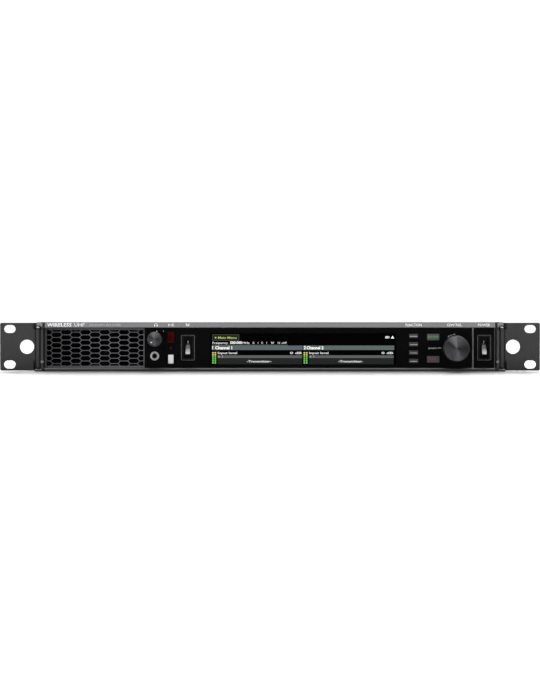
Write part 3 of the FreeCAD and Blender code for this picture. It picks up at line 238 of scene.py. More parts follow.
def lit(name, colour, strength=1.0):
    """A colour on the screen, with the screen's fine dot grid in its brightness."""
    made = Finish(name, 0.35, Specular_IOR_Level=0.05)
    made.shader.inputs["Base Color"].default_value = (0.01, 0.01, 0.01, 1)
    dots = made.add("ShaderNodeTexChecker")
    dots.inputs["Scale"].default_value = 4000
    made.link(made.coordinates, dots, "Vector")
    dim = tuple(c * 0.9 for c in colour)
    made.link(made.ramp(dots.outputs["Fac"], dim, colour, (0, 1)), made.shader, "Emission Color")
    made.shader.inputs["Emission Strength"].default_value = strength
    return made


GRILLE_SHADE_X = 45 * MM      # how far in from its left end the painted shade reaches
GRILLE_SHADE_Z = (6 * MM, 1 * MM)     # where the painted shade along its top starts and is full, below its top


def grille_paint_and_shade():
    """Satin grey on the comb, with painted shade: darker at its left end and along its top where the bezel
    shades it.
    """
    made = coated("grille_paint_and_shade", grey(0.11), grey(0.13), (0.42, 0.55), 4200, 0.00002)
    low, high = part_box("intake_grille")
    split = made.add("ShaderNodeSeparateXYZ")
    made.link(made.coordinates, split, 0)
    # Painted shade: the colour is darkened towards the left end and along the top
    left = made.ramp(split.outputs["X"], grey(0.42), grey(1.0), (low.x, low.x + GRILLE_SHADE_X))
    top_span = [high.z - depth for depth in GRILLE_SHADE_Z]
    top = made.ramp(split.outputs["Z"], grey(1.0), grey(0.35), top_span)
    for shade in (left, top):
        paint = made.shader.inputs["Base Color"].links[0].from_socket
        made.colour(made.times(paint, shade))
    return made


def foam():
    """Open dust filter: nearly black, with round pores."""
    made = Finish("open_foam", 1.0, Specular_IOR_Level=0.0)
    pores = made.cells(900)
    made.colour(made.ramp(pores, grey(0.0002), grey(0.0016), (0.1, 0.6)))
    made.relief(pores, 0.0005)
    return made


def board():
    """Solder mask over copper: rows of traces in the lighter green."""
    made = Finish("solder_mask", 0.3)
    traces = made.add("ShaderNodeTexBrick")
    traces.inputs["Scale"].default_value = 60
    traces.inputs["Mortar Size"].default_value = 0.03
    made.link(made.coordinates, traces, "Vector")
    patches = made.noise(90, 1)
    made.colour(made.ramp(patches, (0.005, 0.06, 0.02), (0.012, 0.12, 0.045), (0.48, 0.52)))
    made.roughness(made.ramp(traces.outputs["Fac"], 0.28, 0.45, (0, 1)))
    made.relief(patches, 0.00003)
    return made


def brushed(name, dark, light, along):
    """Bare metal with its grain along one axis."""
    stretch = {"X": (0.04, 1, 1), "Y": (1, 0.04, 1), "Z": (1, 1, 0.04)}[along]
    return coated(name, grey(dark), grey(light), (0.28, 0.45), 2600, 0.00001, 1.0, stretch)


def anodised():
    """The bezel's satin grey: metallic, with a very fine even grain."""
    return coated("bezel_satin", grey(0.103), grey(0.115), (0.38, 0.44), 5200, 0.000012, 1.0)


MATERIALS = {
    "case_black": coated("powder_coat", grey(0.022), grey(0.030), (0.5, 0.62), 2400, 0.00006),
    "bezel_grey": anodised(),
    "fascia_black": coated("fascia_gloss", grey(0.0034), grey(0.0042), (0.12, 0.18), 900, 0.000002,
                           Specular_IOR_Level=0.12),
    "trim_silver": brushed("trim_satin", 0.22, 0.28, "Z"),
    "grille_grey": grille_paint_and_shade(),
    "filter_foam": foam(),
    "shaft_steel": brushed("turned_steel", 0.5, 0.6, "Y"),
    "button_black": coated("button_satin", grey(0.045), grey(0.055), (0.34, 0.42), 3800, 0.00001),
    "button_grey": coated("key_satin", grey(0.066), grey(0.080), (0.38, 0.45), 3800, 0.00001),
    "button_silver": coated("sync_satin", grey(0.82), grey(0.88), (0.34, 0.4), 3800, 0.00001),
    "housing_black": coated("housing_matt", grey(0.0045), grey(0.0065), (0.5, 0.62), 3000, 0.00002,
                            Specular_IOR_Level=0.12),
    "lever_chrome": coated("lever_plate", grey(0.62), grey(0.70), (0.36, 0.46), 1800, 0.000006, 0.35),
    "rim_satin": coated("rim_satin", grey(0.095), grey(0.115), (0.30, 0.38), 2600, 0.000006),
    "ridge_satin": coated("ridge_satin", grey(0.78), grey(0.84), (0.30, 0.38), 2600, 0.000006, 0.3),
    "screw_zinc": coated("zinc_plate", grey(0.42), grey(0.52), (0.3, 0.42), 1500, 0.00001, 1.0),
    "screw_black": coated("black_oxide", grey(0.03), grey(0.045), (0.35, 0.45), 1500, 0.00001, 0.7),
    "jack_ring": coated("nickel_ring", grey(0.50), grey(0.58), (0.34, 0.42), 1500, 0.000006, 0.55),
    "window_red": coated("infrared_filter", (0.060, 0.0012, 0.002), (0.078, 0.0018, 0.003), (0.12, 0.18), 900,
                         0.000002, Specular_IOR_Level=0.04),
    "lamp_red": coated("lamp_lens", (0.050, 0.004, 0.012), (0.062, 0.006, 0.016), (0.25, 0.32), 900, 0.000004,
                       Specular_IOR_Level=0.05),
    "screen_glass": coated("screen_gloss", grey(0.0008), grey(0.0011), (0.08, 0.12), 700, 0.0000005,
                           Specular_IOR_Level=0.08),
    "screen_panel": coated("panel_film", grey(0.01), grey(0.014), (0.3, 0.4), 900, 0.000004),
    "steel_bright": brushed("zinc_sheet", 0.42, 0.52, "X"),
    "board_green": board(),
    "part_black": coated("moulded_black", grey(0.016), grey(0.024), (0.4, 0.55), 2600, 0.00002),
    "sink_aluminium": brushed("extrusion", 0.35, 0.42, "Y"),
    "ribbon_grey": coated("flat_flex", grey(0.32), grey(0.38), (0.35, 0.45), 800, 0.00001),
    "socket_nickel": coated("nickel_brass", (0.50, 0.48, 0.44), (0.60, 0.58, 0.54), (0.22, 0.32), 1500,
                            0.00001, 1.0),
    "volume_face": spun_painted_sheen("volume_painted_sheen", "volume_knob", 0.14, 0.0004),
    "control_face": spun_painted_sheen("control_painted_sheen", "control_knob", 0.122, 0.0004),
    "knob_side": brushed("knob_flutes", 0.12, 0.17, "Y"),
    "ink_white": coated("ink_white", grey(0.90), grey(0.95), (0.5, 0.6), 1800, 0.000004),
    "ink_grey": coated("ink_grey", grey(0.36), grey(0.42), (0.5, 0.6), 1800, 0.000004),
    "arm_painted_glint": coated("arm_painted_glint", grey(0.72), grey(0.80), (0.3, 0.4), 2600, 0.000006, 0.2),
    "ink_dim": coated("ink_dim", grey(0.55), grey(0.62), (0.5, 0.6), 1800, 0.000004),
    "ink_green": coated("ink_green", (0.04, 0.38, 0.09), (0.06, 0.44, 0.12), (0.45, 0.55), 1800, 0.000004),
    "ink_red": coated("ink_red", (0.42, 0.03, 0.06), (0.48, 0.04, 0.08), (0.45, 0.55), 1800, 0.000004),
    "lit_white": lit("lit_white", (1.0, 1.0, 1.0), 1.15),
    "lit_header_1": lit("lit_header_1", (0.100, 0.130, 0.150)),
    "lit_header_2": lit("lit_header_2", (0.108, 0.140, 0.125)),
    "lit_subheader": lit("lit_subheader", (0.105, 0.115, 0.115)),
    "lit_panel": lit("lit_panel", (0.011, 0.012, 0.012)),
    "lit_olive": lit("lit_olive", (0.008, 0.011, 0.003)),
    "lit_olive_line": lit("lit_olive_line", (0.13, 0.14, 0.11)),
    "lit_lime": lit("lit_lime", (0.50, 0.62, 0.16)),
    "lit_grey": lit("lit_grey", (0.78, 0.80, 0.80)),
    "lit_amber": lit("lit_amber", (0.90, 0.72, 0.16)),
    "lit_green": lit("lit_green", (0.20, 0.74, 0.10)),
}


def material(key):
    """The Blender material for a key of the table above."""
    return MATERIALS[key].material


def dress_frame():
    """Gives every CAD node the finish of its material slot in the record."""
    for part in frame["record"]["subparts"]:
        node = NODES.get(part["node"])
        if node is None:
            continue
        key = part["material_slot"]
        if key == "knob_metal":
            key = "volume_face" if part["node"] == "volume_knob" else "control_face"
        for place in node.material_slots:
            place.material = material(key)


# ---- Shapes ---------------------------------------------------------------------------------------
def over_z(y):
    """Y as a function of z: a number holds at every height, and a function is given back as it is."""
    return y if callable(y) else lambda z: y


class Shapes:
    """Gathers outlines, letters and turned forms, and makes one piece of them."""

    def __init__(self):
        self.mesh = bmesh.new()

    def outline(self, points, near, far):
        """A flat shape in X and Z. near and far give its Y, as a number or as a function of z."""
        front = [self.mesh.verts.new((x, over_z(near)(z), z)) for x, z in points]
        back = [self.mesh.verts.new((x, over_z(far)(z), z)) for x, z in points]
        self.mesh.faces.new(front)
        self.mesh.faces.new(back[::-1])
        for i in range(len(points)):
            j = (i + 1) % len(points)
            self.mesh.faces.new((front[j], front[i], back[i], back[j]))

    def bar(self, x, z, near, far, radius=0.0):
        """A rectangle between (low, high) pairs, with rounded corners."""
        self.outline(rounded_box(x, z, radius), near, far)

    def disc(self, centre, radius, near, far, count):
        """A flat round plate with count sides."""
        self.outline(arc(centre, radius, 0, 360, count, closed=True), near, far)

    def ring(self, centre, radius, width, near, far, start, stop, count):
        """An arc of flat stroke from one bearing to another, in degrees."""
        outer = arc(centre, radius + width / 2, start, stop, count)
        inner = arc(centre, radius - width / 2, start, stop, count)
        for i in range(count):
            self.outline([outer[i], outer[i + 1], inner[i + 1], inner[i]], near, far)

    def letters(self, text, x, z, height, near, far, align="LEFT", width=None, bold=0.0, way=1):
        """Text with capitals of the given height, its baseline at z. With way -1 it reads from behind."""
        flat = flat_text(text, height / CAPITAL, bold * height)
        low = min(v.co.x for v in flat.vertices)
        high = max(v.co.x for v in flat.vertices)
        squeeze = width / (high - low) if width else 1.0
        shift = {"LEFT": 0.0, "CENTER": 0.5, "RIGHT": 1.0}[align] * (high - low) * squeeze
        letters = bmesh.new()
        letters.from_mesh(flat)
        bpy.data.meshes.remove(flat)
        for v in letters.verts:
            v.co = Vector((way * ((v.co.x - low) * squeeze - shift) + x, 0, v.co.y + z))
        back = bmesh.ops.extrude_face_region(letters, geom=letters.faces[:])
        moved = {v for v in back["geom"] if isinstance(v, bmesh.types.BMVert)}
        for v in letters.verts:
            side = near if v in moved else far
            v.co.y = over_z(side)(v.co.z)
        whole = bpy.data.meshes.new("words")
        letters.to_mesh(whole)
        letters.free()
        self.mesh.from_mesh(whole)
        bpy.data.meshes.remove(whole)

    def bead(self, outline, y, radius, count):
        """A round bead that follows a closed outline in X and Z."""
        rows = []
        for i, (x, z) in enumerate(outline):
            before = Vector(outline[i - 1])
            after = Vector(outline[(i + 1) % len(outline)])
            along = (after - before).normalized()
            row = []
            for k in range(count):
                turn = 2 * math.pi * k / count
                out = radius * math.cos(turn)
                place = (x + out * along.y, y + radius * math.sin(turn), z - out * along.x)
                row.append(self.mesh.verts.new(place))
            rows.append(row)
        for i, row in enumerate(rows):
            ahead = rows[(i + 1) % len(rows)]
            for k in range(count):
                m = (k + 1) % count
                self.mesh.faces.new((row[k], row[m], ahead[m], ahead[k]))

    def turned(self, centre, profile, count, flutes=0, flute_depth=0.0):
        """A form turned about an axis along Y. Rows are (radius, y), or (radius, y, True) if fluted."""
        rows = []
        for radius, y, *fluted in profile:
            if radius == 0:
                rows.append([self.mesh.verts.new((centre[0], y, centre[1]))])
                continue
            ring = []
            for i in range(count):
                turn = 2 * math.pi * i / count
                r = radius
                if fluted:
                    r -= flute_depth * max(0.0, math.cos(flutes * turn)) ** FLUTE_SHARPNESS
                place = (centre[0] + r * math.cos(turn), y, centre[1] + r * math.sin(turn))
                ring.append(self.mesh.verts.new(place))
            rows.append(ring)
        for a, b in zip(rows, rows[1:]):
            for i in range(count):
                j = (i + 1) % count
                corners = (a[i % len(a)], b[i % len(b)], b[j % len(b)], a[j % len(a)])
                self.mesh.faces.new(list(dict.fromkeys(corners)))

    def piece(self, name, key, body=ROOT, slot=None, smooth=None):
        """Makes the object, with shading smooth below an angle in degrees."""
        bmesh.ops.remove_doubles(self.mesh, verts=self.mesh.verts, dist=WELD)
        bmesh.ops.recalc_face_normals(self.mesh, faces=self.mesh.faces)
        data = bpy.data.meshes.new(name)
        if smooth:
            for face in self.mesh.faces:
                face.smooth = True
            for edge in self.mesh.edges:
                bend = edge.calc_face_angle(math.pi)
                edge.smooth = len(edge.link_faces) == 2 and bend < math.radians(smooth)
        self.mesh.to_mesh(data)
        self.mesh.free()
        made = bpy.data.objects.new(name, data)
        scene.collection.objects.link(made)
        data.materials.append(material(key))
        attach(made, body)
        return made


def on_circle(centre, radius, bearing):
    """The point round a centre, in X and Z, at a bearing in degrees."""
    turn = math.radians(bearing)
    return centre[0] + radius * math.cos(turn), centre[1] + radius * math.sin(turn)


def arc(centre, radius, start, stop, count, closed=False):
    """Points along an arc, in count steps. A closed one leaves out its last point."""
    places = count if closed else count + 1
    return [on_circle(centre, radius, start + (stop - start) * i / count) for i in range(places)]


def rounded_box(x, z, radius):
    """Outline of a rectangle between (low, high) pairs, with rounded corners."""
    if radius <= 0:
        return [(x[0], z[0]), (x[1], z[0]), (x[1], z[1]), (x[0], z[1])]
    left, right = x[0] + radius, x[1] - radius
    foot, top = z[0] + radius, z[1] - radius
    points = []
    for centre, start in (((right, foot), -90), ((right, top), 0), ((left, top), 90), ((left, foot), 180)):
        points += arc(centre, radius, start, start + 90, 6)
    return points


def flat_text(text, size, offset=0.0):
    """A flat mesh of text in the built-in font, its strokes thickened by the offset."""
    curve = bpy.data.curves.new("words", "FONT")
    curve.body = text
    curve.resolution_u = 2
    curve.offset = offset
    curve.size = size
    holder = bpy.data.objects.new("words", curve)
    scene.collection.objects.link(holder)
    bpy.context.view_layer.update()
    flat = bpy.data.meshes.new_from_object(holder.evaluated_get(bpy.context.evaluated_depsgraph_get()))
    bpy.data.objects.remove(holder)
    bpy.data.curves.remove(curve)
    return flat


def capital_height():
    """Height of a capital in the built-in font at size 1."""
    flat = flat_text("H", 1.0)
    heights = [v.co.y for v in flat.vertices]
    bpy.data.meshes.remove(flat)
    return max(heights) - min(heights)


CAPITAL = capital_height()
INK = 0.03 * MM              # thickness of printing
SINK = 0.01 * MM             # how far printing reaches into what it is on
WELD = 1e-7                  # vertices closer than this are one
FLUTE_SHARPNESS = 1.5        # above 1, the flutes are narrower than the ribs between them


# ---- Legends on the bezel's sloped strip ----------------------------------------------------------
STRIP_ZONE = 0.85            # the strip lies above this part of the bezel's height
STRIP_CREST = 0.25 * MM      # its upper edge, below the bezel's top
CREST_SLACK = 0.05 * MM


def strip_line():
    """The sloped strip's two edges, as (y, z), from the bezel's own mesh."""
    low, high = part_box("front_bezel")
    foot = low.z + STRIP_ZONE * (high.z - low.z)
    crest = high.z - STRIP_CREST
    top = [v.co for v in NODES["front_bezel"].data.vertices if v.co.z > foot]
    lower = min(top, key=lambda co: (round(co.y, 5), -co.z))
    upper = min((co for co in top if abs(co.z - crest) < CREST_SLACK), key=lambda co: co.y)
    return (lower.y, lower.z), (upper.y, upper.z)


STRIP_LOW, STRIP_HIGH = strip_line()


def on_strip(lift):
    """Y of a point on the strip at height z, lifted off it along its normal."""
    rise = STRIP_HIGH[1] - STRIP_LOW[1]
    run = STRIP_HIGH[0] - STRIP_LOW[0]
    offset = lift * math.hypot(rise, run) / rise

    def y(z):
        return STRIP_LOW[0] + (z - STRIP_LOW[1]) * run / rise - offset

    return y


STRIP_TEXT = 2.3 * MM        # height of the strip's capitals
STRIP_BASE = STRIP_LOW[1] + 0.9 * MM
STRIP_MID = STRIP_BASE + STRIP_TEXT / 2
TITLE_TEXT = 2.9 * MM
TITLE_BASE = STRIP_BASE - 0.2 * MM

# The strip's words: the node each stands over, millimetres right of its middle, the word and its width
STRIP_WORDS = (("rf_switch_housing", 0.0, "RF", 3.6), ("function_button_1", 0.0, "FUNCTION", 14.2),
               ("control_knob", -1.4, "CONTROL", 13.2), ("power_switch_housing", 0.0, "POWER", 10.8))


def strip_legends():
    """Generic words and two pictograms on the strip, over what they belong to."""
    near = on_strip(INK)
    far = on_strip(-SINK)
    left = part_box("intake_grille")[0].x + 0.8 * MM
    sync = mid("sync_window").x
    shapes = Shapes()
    shapes.letters("WIRELESS", left, TITLE_BASE, TITLE_TEXT, near, far, width=22 * MM, bold=0.05)
    shapes.letters("UHF", left + 24.5 * MM, TITLE_BASE, TITLE_TEXT, near, far, width=9 * MM, bold=0.015)
    for node, shift, text, width in STRIP_WORDS:
        x = mid(node).x + shift * MM
        shapes.letters(text, x, STRIP_BASE, STRIP_TEXT, near, far, "CENTER", width * MM, 0.025)
    shapes.letters("IR", sync + 0.6 * MM, STRIP_BASE, STRIP_TEXT, near, far, "LEFT", 2.2 * MM, 0.03)
    headphones(shapes, (mid("volume_knob").x + 1.1 * MM, STRIP_MID), near, far)
    waves(shapes, (sync - 0.6 * MM, STRIP_MID), near, far)
    shapes.piece("strip_legends", "ink_white")
    small = Shapes()
    x = left + 38 * MM
    small.letters("DIVERSITY RECEIVER", x, TITLE_BASE + 0.4 * MM, 1.7 * MM, near, far, width=28 * MM)
    small.piece("strip_subtitle", "ink_grey")


def headphones(shapes, centre, near, far):
    """Pictogram: a head band and two cups."""
    half_cup = 0.4 * MM
    cup_z = (centre[1] - 1.3 * MM, centre[1] + 0.1 * MM)
    shapes.ring(centre, 1.25 * MM, 0.35 * MM, near, far, 0, 180, 14)
    for side in (-1, 1):
        x = centre[0] + side * 1.15 * MM
        shapes.bar((x - half_cup, x + half_cup), cup_z, near, far, half_cup / 2)


def waves(shapes, centre, near, far):
    """Pictogram: a dot and two arcs spreading to the left."""
    shapes.disc(centre, 0.35 * MM, near, far, 12)
    for radius in (0.95, 1.6):
        shapes.ring(centre, radius * MM, 0.3 * MM, near, far, 140, 220, 8)


# ---- Markings on the fascia -----------------------------------------------------------------------
def fascia_marks():
    """A tick and a dot by the volume knob; a word, a dash and a turning arrow by the control knob."""
    face = front_of("fascia_panel")
    near = face - INK
    far = face + SINK
    volume = mid("volume_knob")
    tick_x = (volume.x + 1.6 * MM, volume.x + 2.2 * MM)
    tick_z = (volume.z + 6.4 * MM, volume.z + 7.6 * MM)
    tick = Shapes()
    tick.bar(tick_x, tick_z, near, far, 0.1 * MM)
    tick.piece("fascia_marks", "ink_white")
    dot = Shapes()
    dot.disc((volume.x + 7.9 * MM, volume.z + 7.3 * MM), 0.45 * MM, near, far, 14)
    dot.piece("fascia_marks_grey", "ink_grey")
    key = mid("enter_button")
    between = (key.z + mid("exit_button").z) / 2
    dash_x = (key.x + 3.9 * MM, key.x + 7.2 * MM)
    dash_z = (between - 0.1 * MM, between + 0.45 * MM)
    hints = Shapes()
    word = (key.x - 4.0 * MM, between - 0.6 * MM)
    hints.letters("push", *word, 1.6 * MM, near, far, width=7.0 * MM, bold=0.02)
    hints.bar(dash_x, dash_z, near, far)
    control = mid("control_knob")
    turn_arrow(hints, (control.x, control.z), near, far)
    hints.piece("fascia_marks_dim", "ink_dim")


ARROW_RADIUS = 12.9 * MM
ARROW_HEAD = 0.55 * MM       # half the width of an arrow's head
ARROW_HEAD_TURN = 5.0        # its length, in degrees round the knob


def turn_arrow(shapes, centre, near, far):
    """An arc above the control knob with a head at each end: turn either way."""
    shapes.ring(centre, ARROW_RADIUS, 0.28 * MM, near, far, 96, 122, 14)
    for tip, way in ((92.5, -1), (125.5, 1)):
        base = tip - way * ARROW_HEAD_TURN
        head = [on_circle(centre, ARROW_RADIUS, tip)]
        head.append(on_circle(centre, ARROW_RADIUS - ARROW_HEAD, base))
        head.append(on_circle(centre, ARROW_RADIUS + ARROW_HEAD, base))
        shapes.outline(head, near, far)


KEY_TEXT = 1.9 * MM
KEY_MARKS = (("enter_button", "ink_green", "ENTER", 9.4 * MM), ("exit_button", "ink_red", "EXIT", 6.2 * MM))


def key_marks():
    """A green and a red word on the two keys, which travel with them."""
    for node, key, word, width in KEY_MARKS:
        centre = mid(node)
        face = front_of(node)
        z = centre.z - KEY_TEXT / 2
        shapes = Shapes()
        shapes.letters(word, centre.x, z, KEY_TEXT, face - INK, face + SINK, "CENTER", width, 0.015)
        shapes.piece(node.replace("button", "mark"), key, node)


RIDGE_PLACE = 0.42           # up the button's height
RIDGE_INSET = 1.35 * MM      # in from the button's ends
RIDGE_HALF = 0.19 * MM       # half its height


def function_ridges():
    """The raised line along each function button, below its hollow, coloured bright as a painted highlight.
    """
    for i in range(1, 5):
        node = "function_button_%d" % i
        low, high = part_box(node)
        z = low.z + RIDGE_PLACE * (high.z - low.z)
        x = (low.x + RIDGE_INSET, high.x - RIDGE_INSET)
        shapes = Shapes()
        # A raised ridge whose near-white colour is a painted highlight
        shapes.bar(x, (z - RIDGE_HALF, z + RIDGE_HALF), low.y - 0.12 * MM, low.y + 1.2 * MM, 0.18 * MM)
        shapes.piece(node.replace("button", "ridge"), "ridge_satin", node)


BORDER = 0.5 * MM            # width of the dark edge of the infrared window and the sync button
BORDER_DEPTH = 0.25 * MM


def sync_borders():
    """The dark printed border of the infrared window, and the dark edge of the button under it."""
    for node, body in (("sync_window", ROOT), ("sync_button", "sync_button")):
        low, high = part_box(node)
        shapes = Shapes()
        near = low.y - INK
        far = low.y + BORDER_DEPTH
        for x in ((low.x, low.x + BORDER), (high.x - BORDER, high.x)):
            shapes.bar(x, (low.z, high.z), near, far)
        for z in ((low.z, low.z + BORDER), (high.z - BORDER, high.z)):
            shapes.bar((low.x + BORDER, high.x - BORDER), z, near, far)
        shapes.piece(node + "_border", "housing_black", body)


# Radius, and millimetres behind the socket's foremost point, once round the lip's section
LIP_PROFILE = ((2.3, 0.35), (2.36, -0.04), (2.5, -0.1), (2.9, -0.1), (3.1, -0.02), (3.1, 0.2), (2.3, 0.42),
               (2.3, 0.35))


def jack_lip():
    """The plated mouth of the phones socket, turned in towards its bore."""
    centre = mid("phones_jack_nut")
    front = front_of("phones_jack")
    shapes = Shapes()
    shapes.turned((centre.x, centre.z), [(r * MM, front + y * MM) for r, y in LIP_PROFILE], 48)
    shapes.piece("phones_jack_lip", "jack_ring", smooth=40)


LEVERS = ("rf_switch", "power_switch")
WELL_BACK = 5.2 * MM         # the back of a lever's well, behind the front of its flange
STROKE_Z = (3.75 * MM, 6.3 * MM)     # the white stroke's ends, above the housing's middle
STROKE_HALF = 0.32 * MM      # half its width
RIM_RADIUS = 0.24 * MM       # of the bead round the flange


def lever_marks():
    """A white stroke on the back of each lever's well, above the lever: the way to on."""
    for name in LEVERS:
        centre = mid(name + "_housing")
        back = front_of(name + "_housing") + WELL_BACK
        shapes = Shapes()
        x = (centre.x - STROKE_HALF, centre.x + STROKE_HALF)
        z = [centre.z + rise for rise in STROKE_Z]
        shapes.bar(x, z, back - INK, back + SINK, 0.1 * MM)
        shapes.piece(name + "_stroke", "ink_white")


def lever_rims():
    """The rounded satin edge round each lever's flange."""
    for name in LEVERS:
        low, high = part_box(name + "_housing")
        x = (low.x + RIM_RADIUS, high.x - RIM_RADIUS)
        z = (low.z + RIM_RADIUS, high.z - RIM_RADIUS)
        shapes = Shapes()
        shapes.bead(rounded_box(x, z, 0.8 * MM), low.y + RIM_RADIUS / 2, RIM_RADIUS, 8)
        shapes.piece(name + "_rim", "rim_satin", smooth=60)


# ---- Ends of the bezel ----------------------------------------------------------------------------
def face_y(x, z):
    """Y of the foremost surface at a place on the front."""
    graph = bpy.context.evaluated_depsgraph_get()
    found, place, *_ = scene.ray_cast(graph, Vector((x, -1, z)), Vector((0, 1, 0)))
    return place.y if found else front_of("front_bezel")


MID_HEIGHT = 22 * MM         # half of one rack unit's panel
SHADOW_GAP_X = (200.7 * MM, 202.5 * MM)    # either side of the middle, as are the painted glints below
SHADOW_GAP_Z = (3.2 * MM, 38.4 * MM)
ARM_X = (204.4 * MM, 210.0 * MM)
# The painted glints, bright patches standing in for highlights at the arm's foot and head: Z from and to, and
# how much shorter than the arm's width at each end
ARM_PAINTED_GLINTS = (((1.5 * MM, 2.1 * MM), 0.0), ((38.0 * MM, 40.0 * MM), 1.6 * MM))


def end_details():
    """At each end: a black strip of painted shade in the joint beside the end cap, and painted highlights,
    bright patches, on the head and foot of the ear's arm.
    """
    for side, name in ((-1, "left"), (1, "right")):
        # Painted shade: a black strip laid in the joint beside the end cap, where only shade falls
        shadow_strip = Shapes()
        x = sorted(side * value for value in SHADOW_GAP_X)
        y = min(face_y(place, MID_HEIGHT) for place in (x[0], (x[0] + x[1]) / 2, x[1]))
        shadow_strip.bar(x, SHADOW_GAP_Z, y - 0.04 * MM, y + 0.6 * MM, 0.3 * MM)
        shadow_strip.piece("end_shadow_strip_" + name, "housing_black")
        # Painted highlights: bright patches on the arm's head and foot, where light catches its edges
        painted_glints = Shapes()
        x = sorted(side * value for value in ARM_X)
        for z, inset in ARM_PAINTED_GLINTS:
            y = face_y((x[0] + x[1]) / 2, (z[0] + z[1]) / 2)
            painted_glints.bar((x[0] + inset, x[1] - inset), z, y - 0.06 * MM, y + 0.3 * MM, 0.25 * MM)
        painted_glints.piece("arm_painted_glint_" + name, "arm_painted_glint")


# ---- Rear panel -----------------------------------------------------------------------------------
REAR_TEXT = 1.9 * MM
REAR_ROW = 38.6 * MM         # baseline of the highest words
PORT_ROW = REAR_ROW - 4.5 * MM
ANTENNA_ROW = REAR_ROW - 6.0 * MM
SOCKET_GAP = 2 * MM          # sockets side by side stand at least this far apart


def pieces_along(node):
    """Centres in X of a node's separate groups of solids, from the gaps between its vertices."""
    xs = sorted(v.co.x for v in NODES[node].data.vertices)
    groups = [[xs[0], xs[0]]]
    for x in xs:
        if x - groups[-1][1] > SOCKET_GAP:
            groups.append([x, x])
        groups[-1][1] = x
    return [(a + b) / 2 for a, b in groups]


def rear_legends():
    """Generic words over the rear panel's sockets, read from behind."""
    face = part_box("rear_panel")[1].y
    shapes = Shapes()

    def word(text, x, z):
        shapes.letters(text, x, z, REAR_TEXT, face + INK, face - SINK, "CENTER", bold=0.01, way=-1)

    word("MAINS", mid("mains_inlet").x, REAR_ROW)
    for node, name, row in (("network_ports", "NETWORK", PORT_ROW), ("line_jacks", "LINE", PORT_ROW),
                            ("xlr_sockets", "OUT", REAR_ROW)):
        for i, x in enumerate(pieces_along(node)):
            word("%s %d" % (name, i + 1), x, row)
    sockets = pieces_along("antenna_sockets")
    for i, x in enumerate(sockets):
        name = "ANTENNA" if i in (0, len(sockets) - 1) else "LOOP"
        word("%s %s" % (name, "ABCD"[i]), x, ANTENNA_ROW)
    shapes.piece("rear_legends", "ink_white")


# ---- Knobs ----------------------------------------------------------------------------------------
# The two plain ends of a knob's side, in millimetres: in from its full radius, and how far from the fascia
# for the skirt, or from the knob's foremost point for the rim
KNOB_SKIRT = ((0.25, 0.0), (0.0, 0.25), (0.0, 1.35), (0.22, 1.6), (0.35, 1.9))
KNOB_RIM = ((0.5, 1.05), (0.58, 0.6), (0.75, 0.15), (0.88, 0.02), (1.0, 0.04), (1.2, 0.3))
FLUTE_DEPTH = 0.34 * MM
FACE_INSET = 1.1 * MM        # the face's edge, in from the full radius
FACE_BEVEL = 0.12 * MM
FACE_SET = 0.03 * MM         # the face, behind the knob's foremost point
FACE_STEPS = 10              # rings of the face from its edge to its middle


def knob(node, face_key, flutes, dish):
    """A finely turned knob in place of the plain one: skirt, fluted side, bright rim and dished face."""
    low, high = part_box(node)
    centre = ((low.x + high.x) / 2, (low.z + high.z) / 2)
    radius = (high.x - low.x) / 2
    face = low.y
    rear = high.y
    core = radius * 0.5
    profile = [(core, rear)]
    profile += [(radius - inset * MM, rear - rise * MM) for inset, rise in KNOB_SKIRT]
    profile.append((radius - 0.35 * MM, rear - 2.2 * MM, True))
    profile.append((radius - 0.45 * MM, face + 1.35 * MM, True))
    profile += [(radius - inset * MM, face + drop * MM) for inset, drop in KNOB_RIM]
    profile += [(core, face + 0.6 * MM), (core, rear)]
    side = Shapes()
    side.turned(centre, profile, flutes * 8, flutes, FLUTE_DEPTH)
    made = side.piece(node + "_body", "knob_side", node, "knob_metal", smooth=32)
    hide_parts(node)
    edge = radius - FACE_INSET
    flat = edge - FACE_BEVEL
    back = face + 0.5 * MM
    disc = [(0, back), (edge, back), (edge, face + 0.1 * MM), (flat, face + FACE_SET)]
    for i in range(1, FACE_STEPS + 1):
        r = flat * (1 - i / FACE_STEPS)
        disc.append((r, face + FACE_SET + dish * (1 - (r / edge) ** 2)))
    cap = Shapes()
    cap.turned(centre, disc, 128)
    cap.piece(node + "_face", face_key, node, "knob_metal", smooth=32)


POINTER_RADIUS = 3.9 * MM    # from the volume knob's axis to its white dot
POINTER_BEARING = 226


def knobs():
    """Both knobs, and the volume knob's white dot, low on the left at rest."""
    knob("volume_knob", "volume_face", 30, 0.2 * MM)
    knob("control_knob", "control_face", 48, 0.25 * MM)
    centre = mid("volume_knob")
    face = front_of("volume_knob")
    dot = on_circle((centre.x, centre.z), POINTER_RADIUS, POINTER_BEARING)
    pointer = Shapes()
    pointer.disc(dot, 0.6 * MM, face - 0.02 * MM, face + 0.35 * MM, 24)
    pointer.piece("volume_pointer", "ink_white", "volume_knob")


# ---- Screen ---------------------------------------------------------------------------------------
SCREEN_LOW, SCREEN_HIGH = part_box("display_window")
FILM = 0.02 * MM             # each layer of the screen picture lies this far in front of the last


def screen_x(u):
    """X of a place u millimetres from the screen's left edge."""
    return SCREEN_LOW.x + u * MM


def screen_z(v):
    """Z of a place v millimetres below the screen's top edge."""
    return SCREEN_HIGH.z - v * MM


